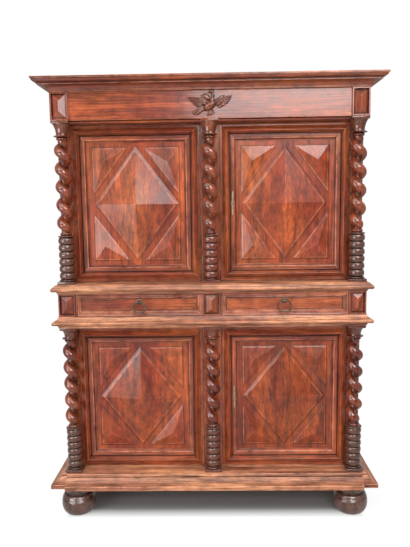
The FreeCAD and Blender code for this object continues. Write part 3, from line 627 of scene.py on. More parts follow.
def lathe(bm, outline, steps, centre=(0.0, 0.0, 0.0)):
    """A closed turned solid: an outline of (radius, height) from the axis out, up and back to the axis."""
    x, y, z = centre
    rings = []
    for radius, height in outline:
        turns = round_turn(steps if radius > 1e-7 else 1)
        rings.append([
            bm.verts.new((x + radius * math.cos(a), y + radius * math.sin(a), z + height)) for a in turns
        ])
    for low, high in zip(rings, rings[1:]):
        for i in range(steps):
            j = (i + 1) % steps
            if len(low) == 1:
                bm.faces.new((low[0], high[j], high[i]))
            elif len(high) == 1:
                bm.faces.new((low[i], low[j], high[0]))
            else:
                bm.faces.new((low[i], low[j], high[j], high[i]))


def bow(start, middle, end, steps):
    """Points of a curve from start, which is left out, through a middle point to the end."""
    control = [2.0 * m - (a + b) / 2.0 for a, m, b in zip(start, middle, end)]
    points = []
    for i in range(1, steps + 1):
        t = i / steps
        near, pull, far = (1 - t) ** 2, 2 * t * (1 - t), t * t
        points.append(tuple(near * a + pull * c + far * b for a, c, b in zip(start, control, end)))
    return points


def box(bm, low, high, edge):
    """A block with softened edges."""
    middle = [(a + b) / 2 for a, b in zip(low, high)]
    size = [b - a for a, b in zip(low, high)]
    place = Matrix.Translation(middle) @ Matrix.Diagonal((*size, 1.0))
    made = bmesh.ops.create_cube(bm, size=1.0, matrix=place)
    bevelled(bm, list({line for v in made["verts"] for line in v.link_edges}), edge)


class GeometryTree:
    """A geometry node tree in the making, with named inputs."""

    def __init__(self, name, inputs):
        self.tree = bpy.data.node_groups.new(name, "GeometryNodeTree")
        self.sockets = {}
        for label, kind in inputs.items():
            kind = "NodeSocket" + kind
            self.sockets[label] = self.tree.interface.new_socket(label, in_out="INPUT", socket_type=kind)
        self.tree.interface.new_socket("Geometry", in_out="OUTPUT", socket_type="NodeSocketGeometry")
        self.start = self.tree.nodes.new("NodeGroupInput")

    def given(self, label):
        """The socket of a named input."""
        return self.start.outputs[label]

    def add(self, kind, inputs=None, **values):
        """One node."""
        return shader(self.tree, kind, inputs, **values)

    def math(self, operation, *values):
        """One sum."""
        return self.add("ShaderNodeMath", dict(enumerate(values)), operation=operation).outputs[0]

    def vector(self, x, y, z):
        """A vector from its parts."""
        return self.add("ShaderNodeCombineXYZ", {"X": x, "Y": y, "Z": z}).outputs[0]

    def end(self, geometry, material):
        """Realize instances, set the material and close the tree."""
        for kind, inputs in (
            ("RealizeInstances", {}), ("SetShadeSmooth", {}), ("SetMaterial", {"Material": material}),
        ):
            node = self.add("GeometryNode" + kind, {"Geometry": geometry, **inputs})
            geometry = node.outputs["Geometry"]
        self.add("NodeGroupOutput", {"Geometry": geometry})

    def run(self, mesh, name, values):
        """The tree's result over a mesh, as a plain mesh."""
        holder = held(mesh, name)
        modifier = holder.modifiers.new(name, "NODES")
        modifier.node_group = self.tree
        for label, value in values.items():
            modifier[self.sockets[label].identifier] = value
        holder.update_tag()
        return worked(holder)


def column_tree():
    """A row of columns: a strand wound about each axis, rings under it, and the turned ends joined on."""
    tree = GeometryTree("Twisted column", {
        "Turned ends": "Geometry", "Strand radius": "Float", "Winding radius": "Float",
        "Neck radius": "Float", "Turns": "Float", "Run-out": "Float", "Twist bottom": "Float",
        "Twist top": "Float", "Rings": "Int", "Rings bottom": "Float", "Rings top": "Float",
        "Ring crest": "Float", "Ring valley": "Float", "Spacing": "Float", "Row start": "Vector",
        "Finish": "Material",
    })
    given, math_of = tree.given, tree.math
    columns, strand_points, strand_sides, points_to_a_ring, ring_sides = 3, 170, 32, 16.0, 48

    def upright(bottom, top, count):
        ends = {"Start": tree.vector(0.0, 0.0, bottom), "End": tree.vector(0.0, 0.0, top)}
        line = tree.add("GeometryNodeCurvePrimitiveLine", ends).outputs["Curve"]
        return tree.add("GeometryNodeResampleCurve", {"Curve": line, "Count": count}).outputs["Curve"]

    def skinned(curve, radius, sides):
        sized = tree.add("GeometryNodeSetCurveRadius", {"Curve": curve, "Radius": radius}).outputs["Curve"]
        circle = tree.add("GeometryNodeCurvePrimitiveCircle", {"Resolution": sides, "Radius": 1.0})
        return tree.add("GeometryNodeCurveToMesh", {
            "Curve": sized, "Profile Curve": circle.outputs["Curve"], "Scale": radius, "Fill Caps": True,
        }).outputs["Mesh"]

    factor = tree.add("GeometryNodeSplineParameter").outputs["Factor"]
    turn = math_of("MULTIPLY", math_of("SUBTRACT", 1.0, factor), given("Turns"))
    nearest = math_of("MINIMUM", turn, math_of("SUBTRACT", given("Turns"), turn))
    ease = tree.add("ShaderNodeMapRange", {
        "Value": math_of("DIVIDE", nearest, given("Run-out")),
    }, interpolation_type="SMOOTHSTEP").outputs["Result"]
    angle = math_of("MULTIPLY", turn, 2.0 * math.pi)
    offset = math_of("MULTIPLY", given("Winding radius"), ease)
    here = tree.add("GeometryNodeInputPosition").outputs[0]
    place = tree.vector(
        math_of("MULTIPLY", offset, math_of("COSINE", angle)),
        math_of("MULTIPLY", offset, math_of("SINE", angle)),
        tree.add("ShaderNodeSeparateXYZ", {0: here}).outputs["Z"],
    )
    axis = upright(given("Twist bottom"), given("Twist top"), strand_points)
    wound = tree.add("GeometryNodeSetPosition", {"Geometry": axis, "Position": place}).outputs["Geometry"]
    swell = math_of("MULTIPLY", math_of("SUBTRACT", given("Strand radius"), given("Neck radius")), ease)
    strand = skinned(wound, math_of("ADD", given("Neck radius"), swell), strand_sides)

    phase = math_of("FRACT", math_of("MULTIPLY", factor, given("Rings")))
    across = math_of("SUBTRACT", math_of("MULTIPLY", phase, 2.0), 1.0)
    square = math_of("SUBTRACT", 1.0, math_of("MULTIPLY", across, across))
    curve = math_of("SQRT", math_of("MAXIMUM", square, 0.0))
    depth = math_of("SUBTRACT", given("Ring crest"), given("Ring valley"))
    ring_radius = math_of("ADD", given("Ring valley"), math_of("MULTIPLY", depth, curve))
    samples = math_of("ADD", math_of("MULTIPLY", given("Rings"), points_to_a_ring), 1.0)
    stack = skinned(upright(given("Rings bottom"), given("Rings top"), samples), ring_radius, ring_sides)

    whole_column = tree.add("GeometryNodeJoinGeometry")
    for geometry in (strand, stack, given("Turned ends")):
        tree.tree.links.new(geometry, whole_column.inputs[0])
    step = tree.vector(given("Spacing"), 0.0, 0.0)
    row = {"Count": columns, "Start Location": given("Row start"), "Offset": step}
    placed = tree.add("GeometryNodeInstanceOnPoints", {
        "Points": tree.add("GeometryNodeMeshLine", row).outputs["Mesh"], "Instance": whole_column.outputs[0],
    }).outputs["Instances"]
    tree.end(placed, given("Finish"))
    return tree


class BUFFET_OT_finishes(Operator):
    """Make the polished, turned and plain wood and the metals"""

    bl_idname = "buffet.finishes"
    bl_label = "Finishes"

    def execute(self, context):
        make_materials(context.scene.buffet_finish)
        return {"FINISHED"}


class BUFFET_OT_joinery(Operator):
    """Dress the boards, frames and mouldings of the case"""

    bl_idname = "buffet.joinery"
    bl_label = "Case joinery"

    def execute(self, context):
        for finish, slot, nodes in JOINERY:
            for node, edge in nodes.items():
                joined(node, edge, finish, slot)
        return {"FINISHED"}


class BUFFET_OT_doors(Operator):
    """Dress the door frames, panels and turn buttons"""

    bl_idname = "buffet.doors"
    bl_label = "Doors"

    def execute(self, context):
        for door in DOORS:
            joined(door + "_door_frame", FRAME_EDGE, "Polished walnut", "walnut")
            joined(door + "_door_panel", PANEL_EDGE, "Figured walnut", "panel_walnut")
            if "left" in door:
                joined(door + "_turn_button", BUTTON_EDGE, "Polished walnut", "walnut")
        return {"FINISHED"}


class BUFFET_OT_columns(Operator):
    """Turn and carve the twisted columns"""

    bl_idname = "buffet.columns"
    bl_label = "Twisted columns"

    def execute(self, context):
        sizes = context.scene.buffet_columns
        tree = column_tree()
        plinth, abacus, disc, bulb, annulet = 0.012, 0.012, 0.009, 0.014, 0.009
        overlap, sides, least_points = 0.002, 48, 1000
        for node, ring_pitch, bell in (("lower_columns", 0.031, 0.038), ("upper_columns", 0.032, 0.049)):
            low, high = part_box(node)
            half, depth, height = sizes.block / 2, (high.y - low.y) / 2, high.z - low.z
            rings_bottom = plinth + disc
            rings_top = rings_bottom + sizes.rings * ring_pitch
            disc_top = rings_top + disc
            twist_bottom = disc_top + bulb
            bell_top = height - abacus
            bell_bottom = bell_top - bell
            annulet_bottom = bell_bottom - annulet
            twist_top = annulet_bottom - bulb
            bm = bmesh.new()
            for bottom, top in ((0.0, plinth), (bell_top, height)):
                box(bm, (-half, -depth, bottom), (half, depth, top), BLOCK_EDGE)
            # Rounds of each turned solid: radius and height at start, middle and end, and the steps
            foot = [((0.030, plinth), (0.0370, plinth + disc / 2), (0.030, rings_bottom), 8)]
            neck = [
                ((0.030, rings_top), (0.0370, rings_top + disc * 0.45), (0.024, disc_top), 8),
                ((0.020, disc_top), (0.0265, disc_top + bulb / 2), (0.018, twist_bottom), 8),
            ]
            crown = [
                ((0.018, twist_top), (0.0265, twist_top + bulb / 2), (0.020, annulet_bottom), 8),
                ((0.024, annulet_bottom), (0.0375, annulet_bottom + annulet / 2), (0.0265, bell_bottom), 8),
                ((0.0255, bell_bottom), (0.0285, bell_bottom + bell / 2), (0.0375, bell_top - 0.003), 12),
            ]
            rim = [(0.0385, bell_top - 0.002), (0.0385, bell_top)]
            for rounds, last in ((foot, []), (neck, []), (crown, rim)):
                start = rounds[0][0]
                outline = [(0.0, start[1]), start]
                for part in rounds:
                    outline += bow(*part)
                outline += last
                lathe(bm, outline + [(0.0, outline[-1][1])], sides)
            mesh = tree.run(mesh_of(bm, "turned_ends"), node + "_turned", {
                "Strand radius": sizes.strand, "Winding radius": sizes.helix, "Neck radius": sizes.neck,
                "Turns": sizes.turns, "Run-out": sizes.run_out, "Twist bottom": twist_bottom - overlap,
                "Twist top": twist_top + overlap, "Rings": sizes.rings, "Rings bottom": rings_bottom,
                "Rings top": rings_top, "Ring crest": sizes.crest, "Ring valley": sizes.valley,
                "Spacing": sizes.span, "Row start": (-sizes.span, (low.y + high.y) / 2, low.z),
                "Finish": finish_of("Turned walnut"),
            })
            if len(mesh.vertices) < least_points:
                raise RuntimeError("the columns came out empty")
            smooth_shaded(mesh, 48)
            soot = mesh.attributes.new("soot", "FLOAT", "POINT")
            soot.data.foreach_set("value", [
                self.soot(node, vertex.co.x, vertex.co.z - low.z, disc_top, bell_bottom)
                for vertex in mesh.vertices
            ])
            piece_of(node + "_turned", mesh, node_body(node), "Turned walnut", "turned_walnut", node)
        return {"FINISHED"}

    def soot(self, node, x, height, disc_top, bell_bottom):
        """How sooty a column is at a height: its rings most, least on the upper middle column."""
        if disc_top < height < bell_bottom:
            return 0.0
        share = 0.85 if abs(x) > 0.3 else 0.65 if "lower" in node else 0.25
        return share if height < bell_bottom else share * 0.5


class BUFFET_OT_feet(Operator):
    """Turn the bun feet"""

    bl_idname = "buffet.feet"
    bl_label = "Bun feet"

    def execute(self, context):
        low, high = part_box("front_feet")
        radius, middle, top = 0.079, 0.049, high.z
        sole, collar, collar_rise, neck = 0.046, 0.058, 0.050, 0.063
        steps, sides = 16, 72
        outline = [(0.0, 0.0), (sole, 0.0)]
        for i in range(1, 2 * steps + 1):
            swell = math.pi / 2 * i / steps - math.pi / 2
            waist, rise = (sole, middle) if swell < 0.0 else (collar, collar_rise)
            outline.append((waist + (radius - waist) * math.cos(swell), middle + rise * math.sin(swell)))
        for height in (0.074, 0.081):
            outline = self.scored(outline, height)
        outline += [(collar, 0.102), (0.0615, 0.106), (neck, 0.120), (neck, top), (0.0, top)]
        bm = bmesh.new()
        for side in SIDES:
            lathe(bm, outline, sides, (side * (high.x - radius), (low.y + high.y) / 2, 0.0))
        mesh = smooth_shaded(mesh_of(bm, "bun_feet"), 40)
        piece_of("bun_feet", mesh, node_body("front_feet"), "Foot walnut", "turned_walnut", "front_feet")
        return {"FINISHED"}

    def scored(self, outline, height):
        """The outline with a fine turned groove at a height."""
        width, depth = 0.0016, 0.0016
        low = [p for p in outline if p[1] < height - width]
        high = [p for p in outline if p[1] > height + width]
        t = (height - low[-1][1]) / (high[0][1] - low[-1][1])
        radius = low[-1][0] + t * (high[0][0] - low[-1][0])
        return low + [(radius, height - width), (radius - depth, height), (radius, height + width)] + high


class BUFFET_OT_bird(Operator):
    """Carve the bird on the frieze"""

    bl_idname = "buffet.bird"
    bl_label = "Carved bird"

    # Tips of each layer's feathers across and up the carving's box, the first root, and the step to the next
    # root across. The second layer of each wing lies on the first.
    wings = (
        (((0.00, 0.735), (0.045, 0.63), (0.10, 0.53), (0.155, 0.435), (0.215, 0.355)), (0.47, 0.62), -0.01),
        (((0.20, 0.705), (0.235, 0.615), (0.27, 0.53), (0.315, 0.455)), (0.51, 0.61), -0.01),
        (((1.00, 0.78), (0.985, 0.69), (0.955, 0.595), (0.91, 0.505), (0.85, 0.43), (0.775, 0.365)),
         (0.62, 0.55), 0.008),
        (((0.86, 0.70), (0.84, 0.615), (0.80, 0.53), (0.75, 0.455)), (0.60, 0.54), 0.008),
    )
    feather, root_drop = (0.0094, 0.0105, 1.5), 0.042
    # Start and end of each other form, across and up the box and in metres off the ground, then its width and
    # thickness in metres and the power that moves its widest place
    forms = (
        # Wing edges
        ((0.33, 0.80, 0.010), (0.55, 0.62, 0.010), (0.019, 0.016, 0.8)),
        ((0.38, 0.87, 0.010), (0.53, 0.72, 0.010), (0.013, 0.014, 0.8)),
        ((0.57, 0.50, 0.009), (0.84, 0.80, 0.008), (0.014, 0.013, 0.9)),
        # Tail and its feathers
        ((0.45, 0.32, 0.004), (0.14, 0.09, 0.004), (0.025, 0.008, 1.9)),
        ((0.46, 0.33, 0.007), (0.125, 0.165, 0.006), (0.0105, 0.010, 1.7)),
        ((0.46, 0.33, 0.007), (0.145, 0.09, 0.006), (0.0105, 0.010, 1.7)),
        ((0.46, 0.33, 0.007), (0.205, 0.03, 0.006), (0.0105, 0.010, 1.7)),
        # Body, breast, neck, head and beak
        ((0.37, 0.24, 0.007), (0.68, 0.55, 0.010), (0.033, 0.032, 0.8)),
        ((0.55, 0.40, 0.010), (0.585, 0.82, 0.010), (0.021, 0.020, 0.7)),
        ((0.59, 0.64, 0.010), (0.575, 0.965, 0.010), (0.015, 0.015, 1.0)),
        ((0.61, 0.90, 0.010), (0.515, 0.965, 0.011), (0.016, 0.016, 0.8)),
        ((0.55, 0.95, 0.010), (0.465, 0.92, 0.010), (0.008, 0.009, 0.7)),
        # Legs and what they stand on
        ((0.49, 0.32, 0.007), (0.475, 0.06, 0.005), (0.010, 0.011, 0.8)),
        ((0.56, 0.32, 0.006), (0.575, 0.10, 0.005), (0.009, 0.010, 0.8)),
        ((0.43, 0.015, 0.004), (0.625, 0.12, 0.004), (0.010, 0.009, 1.0)),
        ((0.44, 0.08, 0.004), (0.55, 0.02, 0.004), (0.007, 0.008, 1.0)),
    )

    def execute(self, context):
        low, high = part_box("carved_bird")
        wide, tall, ground = high.x - low.x, high.z - low.z, high.y

        def spot(u, v, lift):
            return Vector((low.x + u * wide, ground - lift, low.z + v * tall))

        bm = bmesh.new()
        lift, root_rise, tip_rise, clear = 0.006, 0.004, 0.003, 0.0002
        for layer, (tips, root, step) in enumerate(self.wings):
            upper = layer % 2
            for k, (u, v) in enumerate(tips):
                start = spot(root[0] + step * k, root[1] - self.root_drop * k, lift + root_rise * upper)
                self.swelling(bm, start, spot(u, v, lift + tip_rise * upper), *self.feather)
        for start, end, form in self.forms:
            self.swelling(bm, spot(*start), spot(*end), *form)
        for vertex in bm.verts:
            vertex.co.y = min(vertex.co.y, ground - clear)
        mesh = applied(mesh_of(bm, "bird_blanks", True), "bird_carving", [
            ("REMESH", {"mode": "VOXEL", "voxel_size": 0.0009, "use_smooth_shade": True}),
            ("SMOOTH", {"factor": 0.5, "iterations": 2}),
        ])
        for vertex in mesh.vertices:
            vertex.co.y = min(vertex.co.y, ground)
        body = node_body("carved_bird")
        piece_of("bird_carving", mesh, body, "Carved walnut", "carved_walnut", "carved_bird")
        return {"FINISHED"}

    def swelling(self, bm, start, end, width, thickness, point):
        """A carved blade or limb: a swelling form from one point to another."""
        count, sides = 12, 12
        axis = end - start
        forward = axis.normalized()
        side = forward.cross(Vector((0.0, -1.0, 0.0))).normalized()
        up = side.cross(forward)
        rows = []
        for i in range(1, count):
            t = i / count
            swell = math.sin(math.pi * t ** point) ** 0.7
            rows.append([
                bm.verts.new(
                    start + axis * t + side * (math.cos(a) * width * 0.5 * swell)
                    + up * (math.sin(a) * thickness * 0.5 * swell)
                ) for a in round_turn(sides)
            ])
        skin(bm, rows)
        for ring, tip in ((rows[0][::-1], start), (rows[-1], end)):
            pole = bm.verts.new(tip)
            for k in range(sides):
                bm.faces.new((ring[k], ring[(k + 1) % sides], pole))


class BUFFET_OT_escutcheons(Operator):
    """Cut the brass escutcheons with their keyholes"""

    bl_idname = "buffet.escutcheons"
    bl_label = "Escutcheons"

    def execute(self, context):
        hole, slot_half, slot_top, slot_draw = 0.0024, 0.0013, 0.0012, 5.6
        for door in ("lower_right", "upper_right"):
            node = door + "_escutcheon"
            low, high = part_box(node)
            x, z = (low.x + high.x) / 2, (low.z + high.z) / 2
            half_width, half_length = (high.x - low.x) / 2, (high.z - low.z) / 2
            outer = []
            inner = []
            for turn in round_turn(64):
                across, rise = math.cos(turn), math.sin(turn)
                v = half_length * abs(rise) ** 0.9 * (1 if rise >= 0 else -1)
                t = abs(v) / half_length
                waist = 1.0 - 0.62 * min(1.0, t / 0.42) + 0.22 * math.exp(-((t - 0.66) / 0.14) ** 2)
                wide = half_width * waist * (1.0 - max(0.0, (t - 0.86) / 0.14)) ** 0.6
                outer.append((x + math.copysign(wide, across) * min(1.0, abs(across) * 6), z + v))
                u, w = hole * across, hole * rise
                if w < -slot_top:
                    u, w = max(-slot_half, min(slot_half, u)), -slot_top - (-w - slot_top) * slot_draw
                inner.append((x + u, z + w))
            mesh = self.plate(door + "_keyplate", outer, inner, low.y, high.y)
            piece_of(door + "_keyplate", mesh, node_body(node), "Pale brass", "brass", node)
        return {"FINISHED"}

    def plate(self, name, outer, inner, front, back):
        """A thin plate between an outer outline and a hole, domed towards its middle line."""
        dome = 0.0008
        shoulder = front + (back - front) * 0.4
        bm = bmesh.new()
        rows = []
        for share, y in (
            (0.0, back), (0.0, shoulder), (0.12, front), (0.55, front - dome), (1.0, front), (1.0, back),
        ):
            rows.append([
                bm.verts.new((a + (c - a) * share, y, b + (d - b) * share))
                for (a, b), (c, d) in zip(outer, inner)
            ])
        skin(bm, rows + rows[:1])
        return smooth_shaded(mesh_of(bm, name, True), 50)


class BUFFET_OT_pulls(Operator):
    """Cast the ring pulls and their rosettes"""

    bl_idname = "buffet.pulls"
    bl_label = "Ring pulls"

    def execute(self, context):
        for side in ("left", "right"):
            low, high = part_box(side + "_pull_ring")
            wire = (high.y - low.y) / 2
            self.ring(side, low, high, wire)
            self.rosette(side, (low.x + high.x) / 2, (low.y + high.y) / 2, high.z - wire, wire)
        return {"FINISHED"}

    def ring(self, side, low, high, wire):
        """A long ring of wire that thickens towards its bottom."""
        straight_steps, bend_steps, sides = 10, 40, 16
        thicken_from, thicken_by = 0.45, 0.35
        x, y, middle = ((a + b) / 2 for a, b in zip(low, high))
        top, bottom = high.z - wire, low.z + wire
        bend = (top - bottom) / 2
        straight = (high.x - low.x) / 2 - wire - bend
        path = []
        for end in (1, -1):
            for i in range(straight_steps):
                path.append((end * straight * (2 * i / straight_steps - 1), middle + end * bend))
            for i in range(bend_steps):
                a = math.pi * i / bend_steps
                path.append((end * (straight + bend * math.sin(a)), middle + end * bend * math.cos(a)))
        bm = bmesh.new()
        rows = []
        for i, (u, v) in enumerate(path):
            ahead, behind = path[(i + 1) % len(path)], path[i - 1]
            run = Vector((ahead[0] - behind[0], 0.0, ahead[1] - behind[1])).normalized()
            inward = Vector((0.0, 1.0, 0.0))
            out = run.cross(inward)
            share = (top - v) / (top - bottom)
            radius = wire * (1.0 + thicken_by * max(0.0, share - thicken_from) / (1.0 - thicken_from))
            centre = Vector((x + u, y, v + (radius - wire) * share))
            rows.append([
                bm.verts.new(centre + out * (radius * math.cos(a)) + inward * (radius * math.sin(a)))
                for a in round_turn(sides)
            ])
        skin(bm, rows + rows[:1])
        mesh = smooth_shaded(mesh_of(bm, side + "_ring", True), 60)
        piece_of(side + "_ring", mesh, side + "_pull_ring", "Aged bronze", "bronze", side + "_pull_ring")

    def rosette(self, side, x, eye, z, wire):
        """A lobed plate with a collar and the eyed post that holds the ring."""
        half_width, half_height, lobes, lobe_depth, hub_lift, steps = 0.0150, 0.0118, 6, 0.13, 0.0042, 72
        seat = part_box(side + "_pull_plate")[1].y
        bm = bmesh.new()
        rows = []
        for share, lift in (
            (0.30, hub_lift), (0.42, 0.0030), (0.62, 0.0030), (0.86, 0.0021), (1.0, 0.0011), (1.0, 0.0),
        ):
            ring = []
            for a in round_turn(steps):
                reach = share * (1.0 + lobe_depth * math.cos(lobes * a) * share ** 2)
                across, up = half_width * reach * math.cos(a), half_height * reach * math.sin(a)
                ring.append(bm.verts.new((x + across, seat - lift, z + up)))
            rows.append(ring)
        hub = bm.verts.new((x, seat - hub_lift, z))
        for i in range(steps):
            bm.faces.new((hub, rows[0][i], rows[0][(i + 1) % steps]))
        skin(bm, rows)
        bm.faces.new(rows[-1])
        post_radius, post_half, post_sunk, eye_play, slit_half = 0.0062, 0.0050, 0.003, 0.0001, 0.0012
        cheek_near, cheek_far, half_steps = 0.0012, 0.0045, 24
        eye_radius = wire + eye_play
        half_turn = [math.pi / 2 + math.pi * i / half_steps for i in range(half_steps + 1)]
        post, hole = (
            [(eye + radius * math.cos(a), z + radius * math.sin(a)) for a in half_turn]
            + [(back, z - half), (back, z + half)]
            for radius, back, half in (
                (post_radius, seat - post_sunk, post_half), (eye_radius, eye + eye_radius, slit_half),
            )
        )
        for end in SIDES:
            near, far = x + cheek_near * end, x + cheek_far * end
            loops = [
                [bm.verts.new((place, v, w)) for v, w in outline]
                for place, outline in ((near, post), (far, post), (far, hole), (near, hole))
            ]
            skin(bm, loops + loops[:1])
        mesh = smooth_shaded(mesh_of(bm, side + "_rosette", True), 45)
        piece_of(side + "_rosette", mesh, side + "_drawer", "Aged bronze", "bronze", side + "_pull_plate")


def nail_tree():
    """Rounded heads of nails or screws, one at each point."""
    tree = GeometryTree("Nail heads", {"Places": "Geometry", "Head size": "Vector", "Finish": "Material"})
    ball = tree.add("GeometryNodeMeshUVSphere", {"Segments": 12, "Rings": 8, "Radius": 0.5}).outputs["Mesh"]
    placed = tree.add("GeometryNodeInstanceOnPoints", {
        "Points": tree.given("Places"), "Instance": ball, "Scale": tree.given("Head size"),
    }).outputs["Instances"]
    tree.end(placed, tree.given("Finish"))
    return tree


def drive_heads(tree, name, points, size, body):
    """Iron heads at points of a body."""
    mesh = bpy.data.meshes.new("points")
    mesh.from_pydata(points, [], [])
    mesh = tree.run(mesh, name, {"Head size": size, "Finish": finish_of("Dark iron")})
    piece_of(name, smooth_shaded(mesh, 50), body, "Dark iron", "iron")


class BUFFET_OT_ironwork(Operator):
    """Forge the locks, bolts and pivots, with the screws of the locks"""

    bl_idname = "buffet.ironwork"
    bl_label = "Locks and pivots"

    def execute(self, context):
        heads = nail_tree()
        inset, head_size = 0.009, (0.0085, 0.0032, 0.0085)
        for door in DOORS:
            pivots = frame["nodes"][door + "_door_pivots"].data
            pivots.materials.clear()
            pivots.materials.append(finish_of("Dark iron"))
            if "right" in door:
                joined(door + "_lock_case", LOCK_CASE_EDGE, "Dark iron", "iron")
                joined(door + "_lock_bolt", LOCK_BOLT_EDGE, "Dark iron", "iron")
                low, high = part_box(door + "_lock_case")
                levels = (low.z + inset, high.z - inset)
                points = [(x, high.y, z) for x in (low.x + inset, high.x - inset) for z in levels]
                drive_heads(heads, door + "_lock_screws", points, head_size, door + "_door")
        return {"FINISHED"}


class BUFFET_OT_nails(Operator):
    """Nail the back boards"""

    bl_idname = "buffet.nails"
    bl_label = "Back nails"

    def execute(self, context):
        boards, inset, sunk, head_size = 7, 0.035, 0.0004, (0.0060, 0.0022, 0.0060)
        points = []
        for node in ("lower_back", "upper_back"):
            low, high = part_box(node)
            step = (high.x - low.x) / boards
            levels = (low.z + inset, (low.z + high.z) / 2, high.z - inset)
            for i in range(boards):
                for share in (0.2, 0.8):
                    points += [(low.x + (i + share) * step, high.y - sunk, level) for level in levels]
        drive_heads(nail_tree(), "back_nails", points, head_size, "case")
        return {"FINISHED"}


class BUFFET_OT_stage(Operator):
    """Lay the floor, hang the lights and stand the camera"""

    bl_idname = "buffet.stage"
    bl_label = "Stage"

    def execute(self, context):
        stage = context.scene.buffet_stage
        self.floor(stage)
        self.world(stage)
        for name, size, place, target in (
            ("overhead", (11.0, 11.0), (-1.2, -6.6, 13.0), (0.0, -0.1, 0.9)),
            ("left", (1.7, 0.8), (-2.4, -2.3, 3.35), (0.0, -0.1, 1.3)),
            ("low", (1.8, 1.0), (-2.25, -2.4, 1.15), (0.0, -0.1, 0.45)),
            ("fill", (1.8, 1.0), (0.7, -2.9, 0.75), (0.3, -0.1, 0.4)),
            ("right", (1.0, 1.0), (2.0, -2.9, 3.6), (0.0, -0.1, 1.3)),
            ("front", (2.2, 0.5), (0.85, -3.9, 2.62), (0.0, -0.1, 1.6)),
            ("high", (1.0, 0.8), (0.95, -3.4, 4.0), (0.35, -0.15, 1.7)),
        ):
            self.light(name, getattr(stage, name + "_power"), size, place, target, name != "fill")
        for name, side in zip(("back_left", "back_right"), SIDES):
            self.light(name, stage.back_power, (2.4, 2.4), (side * 3.4, 4.0, 3.8), (0.0, 0.2, 1.0), False)
        self.camera(stage)
        context.scene.view_settings.view_transform = "Standard"
        return {"FINISHED"}

    def floor(self, stage):
        """A wide floor, glowing white to the camera away from the case; under the case its colour is
        darkened, a painted shadow on top of the lit one.
        """
        extent, case_half_width, case_half_depth, mirrored_share = 30.0, 0.72, 0.30, 0.15
        corners = [(x * extent, y * extent, 0.0) for x, y in ((-1, -1), (1, -1), (1, 1), (-1, 1))]
        mesh = bpy.data.meshes.new("pale_floor")
        mesh.from_pydata(corners, [], [(0, 1, 2, 3)])
        floor = bpy.data.objects.new("pale_floor", mesh)
        bpy.context.scene.collection.objects.link(floor)
        material, tree, surface = new_material("Pale floor")
        camera, mirrored = rays(tree)
        seen = sum_of(tree, "MAXIMUM", camera, times(tree, mirrored, mirrored_share))
        place = object_place(tree)
        spread = shader(tree, "ShaderNodeVectorMath", {0: place}, operation="ABSOLUTE").outputs["Vector"]
        sides = shader(tree, "ShaderNodeSeparateXYZ", {0: spread}).outputs
        outside = sum_of(
            tree, "MAXIMUM", sum_of(tree, "SUBTRACT", sides["X"], case_half_width),
            sum_of(tree, "SUBTRACT", sides["Y"], case_half_depth),
        )
        # Painted shadow: under the case's footprint the floor's colour is dark and it does not glow; outwards
        # it glows white
        near = span(tree, outside, -0.10, -0.02)
        far = span(tree, outside, -0.02, 0.30)
        cloud = noise(tree, place, 3.0, 3.0, 4.0, 0.5)
        tint = mixed(tree, cloud, scaled(stage.floor, 0.30), scaled(stage.floor, 0.33))
        tint = mixed(tree, near, tint, scaled(stage.floor, 0.22))
        tint = mixed(tree, far, tint, (0.0, 0.0, 0.0))
        glow = sum_of(tree, "ADD", times(tree, near, 0.82), times(tree, far, 0.18))
        feed(tree, surface, {
            "Base Color": mixed(tree, seen, scaled(stage.floor, 0.50), tint), "Roughness": 0.85,
            "Emission Color": (1.0, 1.0, 1.0, 1.0), "Emission Strength": times(tree, glow, seen),
            "Specular IOR Level": 0.1,
        })
        mesh.materials.append(material)

    def world(self, stage):
        """White where it is seen, dimmer in polish, most of all in front, and dimmest as light."""
        world = bpy.data.worlds.new("White room")
        bpy.context.scene.world = world
        world.use_nodes = True
        tree = world.node_tree
        tree.nodes.clear()
        camera, mirrored = rays(tree)
        aim = shader(tree, "ShaderNodeTexCoord").outputs["Generated"]
        aim = shader(tree, "ShaderNodeSeparateXYZ", {0: aim}).outputs
        height = times(tree, sum_of(tree, "MAXIMUM", aim["Z"], 0.0), 0.9)
        front = sum_of(tree, "SUBTRACT", times(tree, aim["Y"], -1.0), height)
        room = span(tree, front, 0.30, 0.75, 0.45, 0.05)
        strength = sum_of(tree, "MAXIMUM", camera, times(tree, mirrored, room), stage.ambient)
        sky = shader(tree, "ShaderNodeBackground", {"Color": (1.0, 1.0, 1.0, 1.0), "Strength": strength})
        shader(tree, "ShaderNodeOutputWorld", {"Surface": sky.outputs[0]})

    def light(self, name, watts, size, place, target, mirrored):
        """A flat soft light, so wide and so high, aimed at a point, that polish mirrors or not."""
        lamp = bpy.data.lights.new(name + "_light", "AREA")
        lamp.energy = watts
        lamp.shape = "RECTANGLE"
        lamp.size, lamp.size_y = size
        holder = bpy.data.objects.new(name + "_light", lamp)
        holder.location = place
        holder.visible_glossy = mirrored
        holder.rotation_euler = (Vector(target) - Vector(place)).to_track_quat("-Z", "Y").to_euler()
        bpy.context.scene.collection.objects.link(holder)

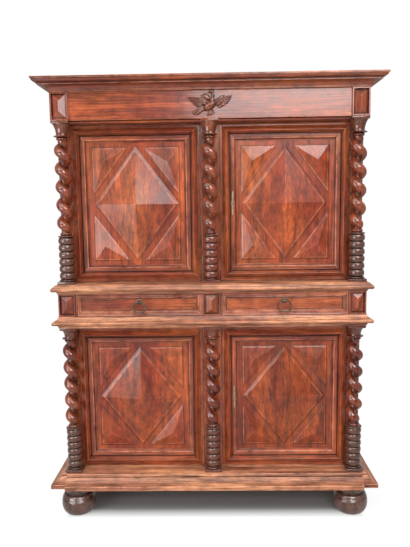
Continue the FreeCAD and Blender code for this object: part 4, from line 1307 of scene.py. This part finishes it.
    def camera(self, stage):
        """The camera at the photograph's viewing angle."""
        place = (0.021, -2.738, 1.440)
        yaw, pitch, roll = math.radians(-1.12), math.radians(6.8), math.radians(-0.78)
        data = bpy.data.cameras.new("camera")
        data.lens = stage.lens
        data.sensor_width = 36.0
        camera = bpy.data.objects.new("camera", data)
        ahead = Vector((math.sin(yaw) * math.cos(pitch), math.cos(yaw) * math.cos(pitch), -math.sin(pitch)))
        right = Vector((math.cos(yaw), -math.sin(yaw), 0.0))
        up = right.cross(ahead)
        x_axis = right * math.cos(roll) + up * math.sin(roll)
        y_axis = up * math.cos(roll) - right * math.sin(roll)
        turn = Matrix((x_axis, y_axis, -ahead)).transposed().to_4x4()
        camera.matrix_world = Matrix.Translation(place) @ turn
        bpy.context.scene.collection.objects.link(camera)
        bpy.context.scene.camera = camera


class BUFFET_PT_panel(Panel):
    """Lists the steps that dress the buffet"""

    bl_label = "Buffet"
    bl_idname = "BUFFET_PT_panel"
    bl_space_type = "VIEW_3D"
    bl_region_type = "UI"
    bl_category = "Buffet"

    def draw(self, context):
        for step in STEPS:
            self.layout.operator(step.bl_idname)
        for name, group in GROUPS:
            column = self.layout.column()
            for key in group.__annotations__:
                column.prop(getattr(context.scene, name), key)


GROUPS = (("buffet_finish", BuffetFinish), ("buffet_columns", BuffetColumns), ("buffet_stage", BuffetStage))
STEPS = (
    BUFFET_OT_finishes, BUFFET_OT_joinery, BUFFET_OT_doors, BUFFET_OT_columns, BUFFET_OT_feet,
    BUFFET_OT_bird, BUFFET_OT_escutcheons, BUFFET_OT_pulls, BUFFET_OT_ironwork, BUFFET_OT_nails,
    BUFFET_OT_stage,
)


def register():
    """Register the settings, the steps and the panel."""
    for name, group in GROUPS:
        bpy.utils.register_class(group)
        setattr(bpy.types.Scene, name, PointerProperty(type=group))
    for step in STEPS:
        bpy.utils.register_class(step)
    bpy.utils.register_class(BUFFET_PT_panel)


def unregister():
    """Take the panel, the steps and the settings away again."""
    bpy.utils.unregister_class(BUFFET_PT_panel)
    for step in reversed(STEPS):
        bpy.utils.unregister_class(step)
    for name, group in reversed(GROUPS):
        delattr(bpy.types.Scene, name)
        bpy.utils.unregister_class(group)


def main():
    """Dress the buffet and set the stage."""
    register()
    for step in STEPS:
        family, name = step.bl_idname.split(".")
        getattr(getattr(bpy.ops, family), name)()


if __name__ == "__main__":
    main()
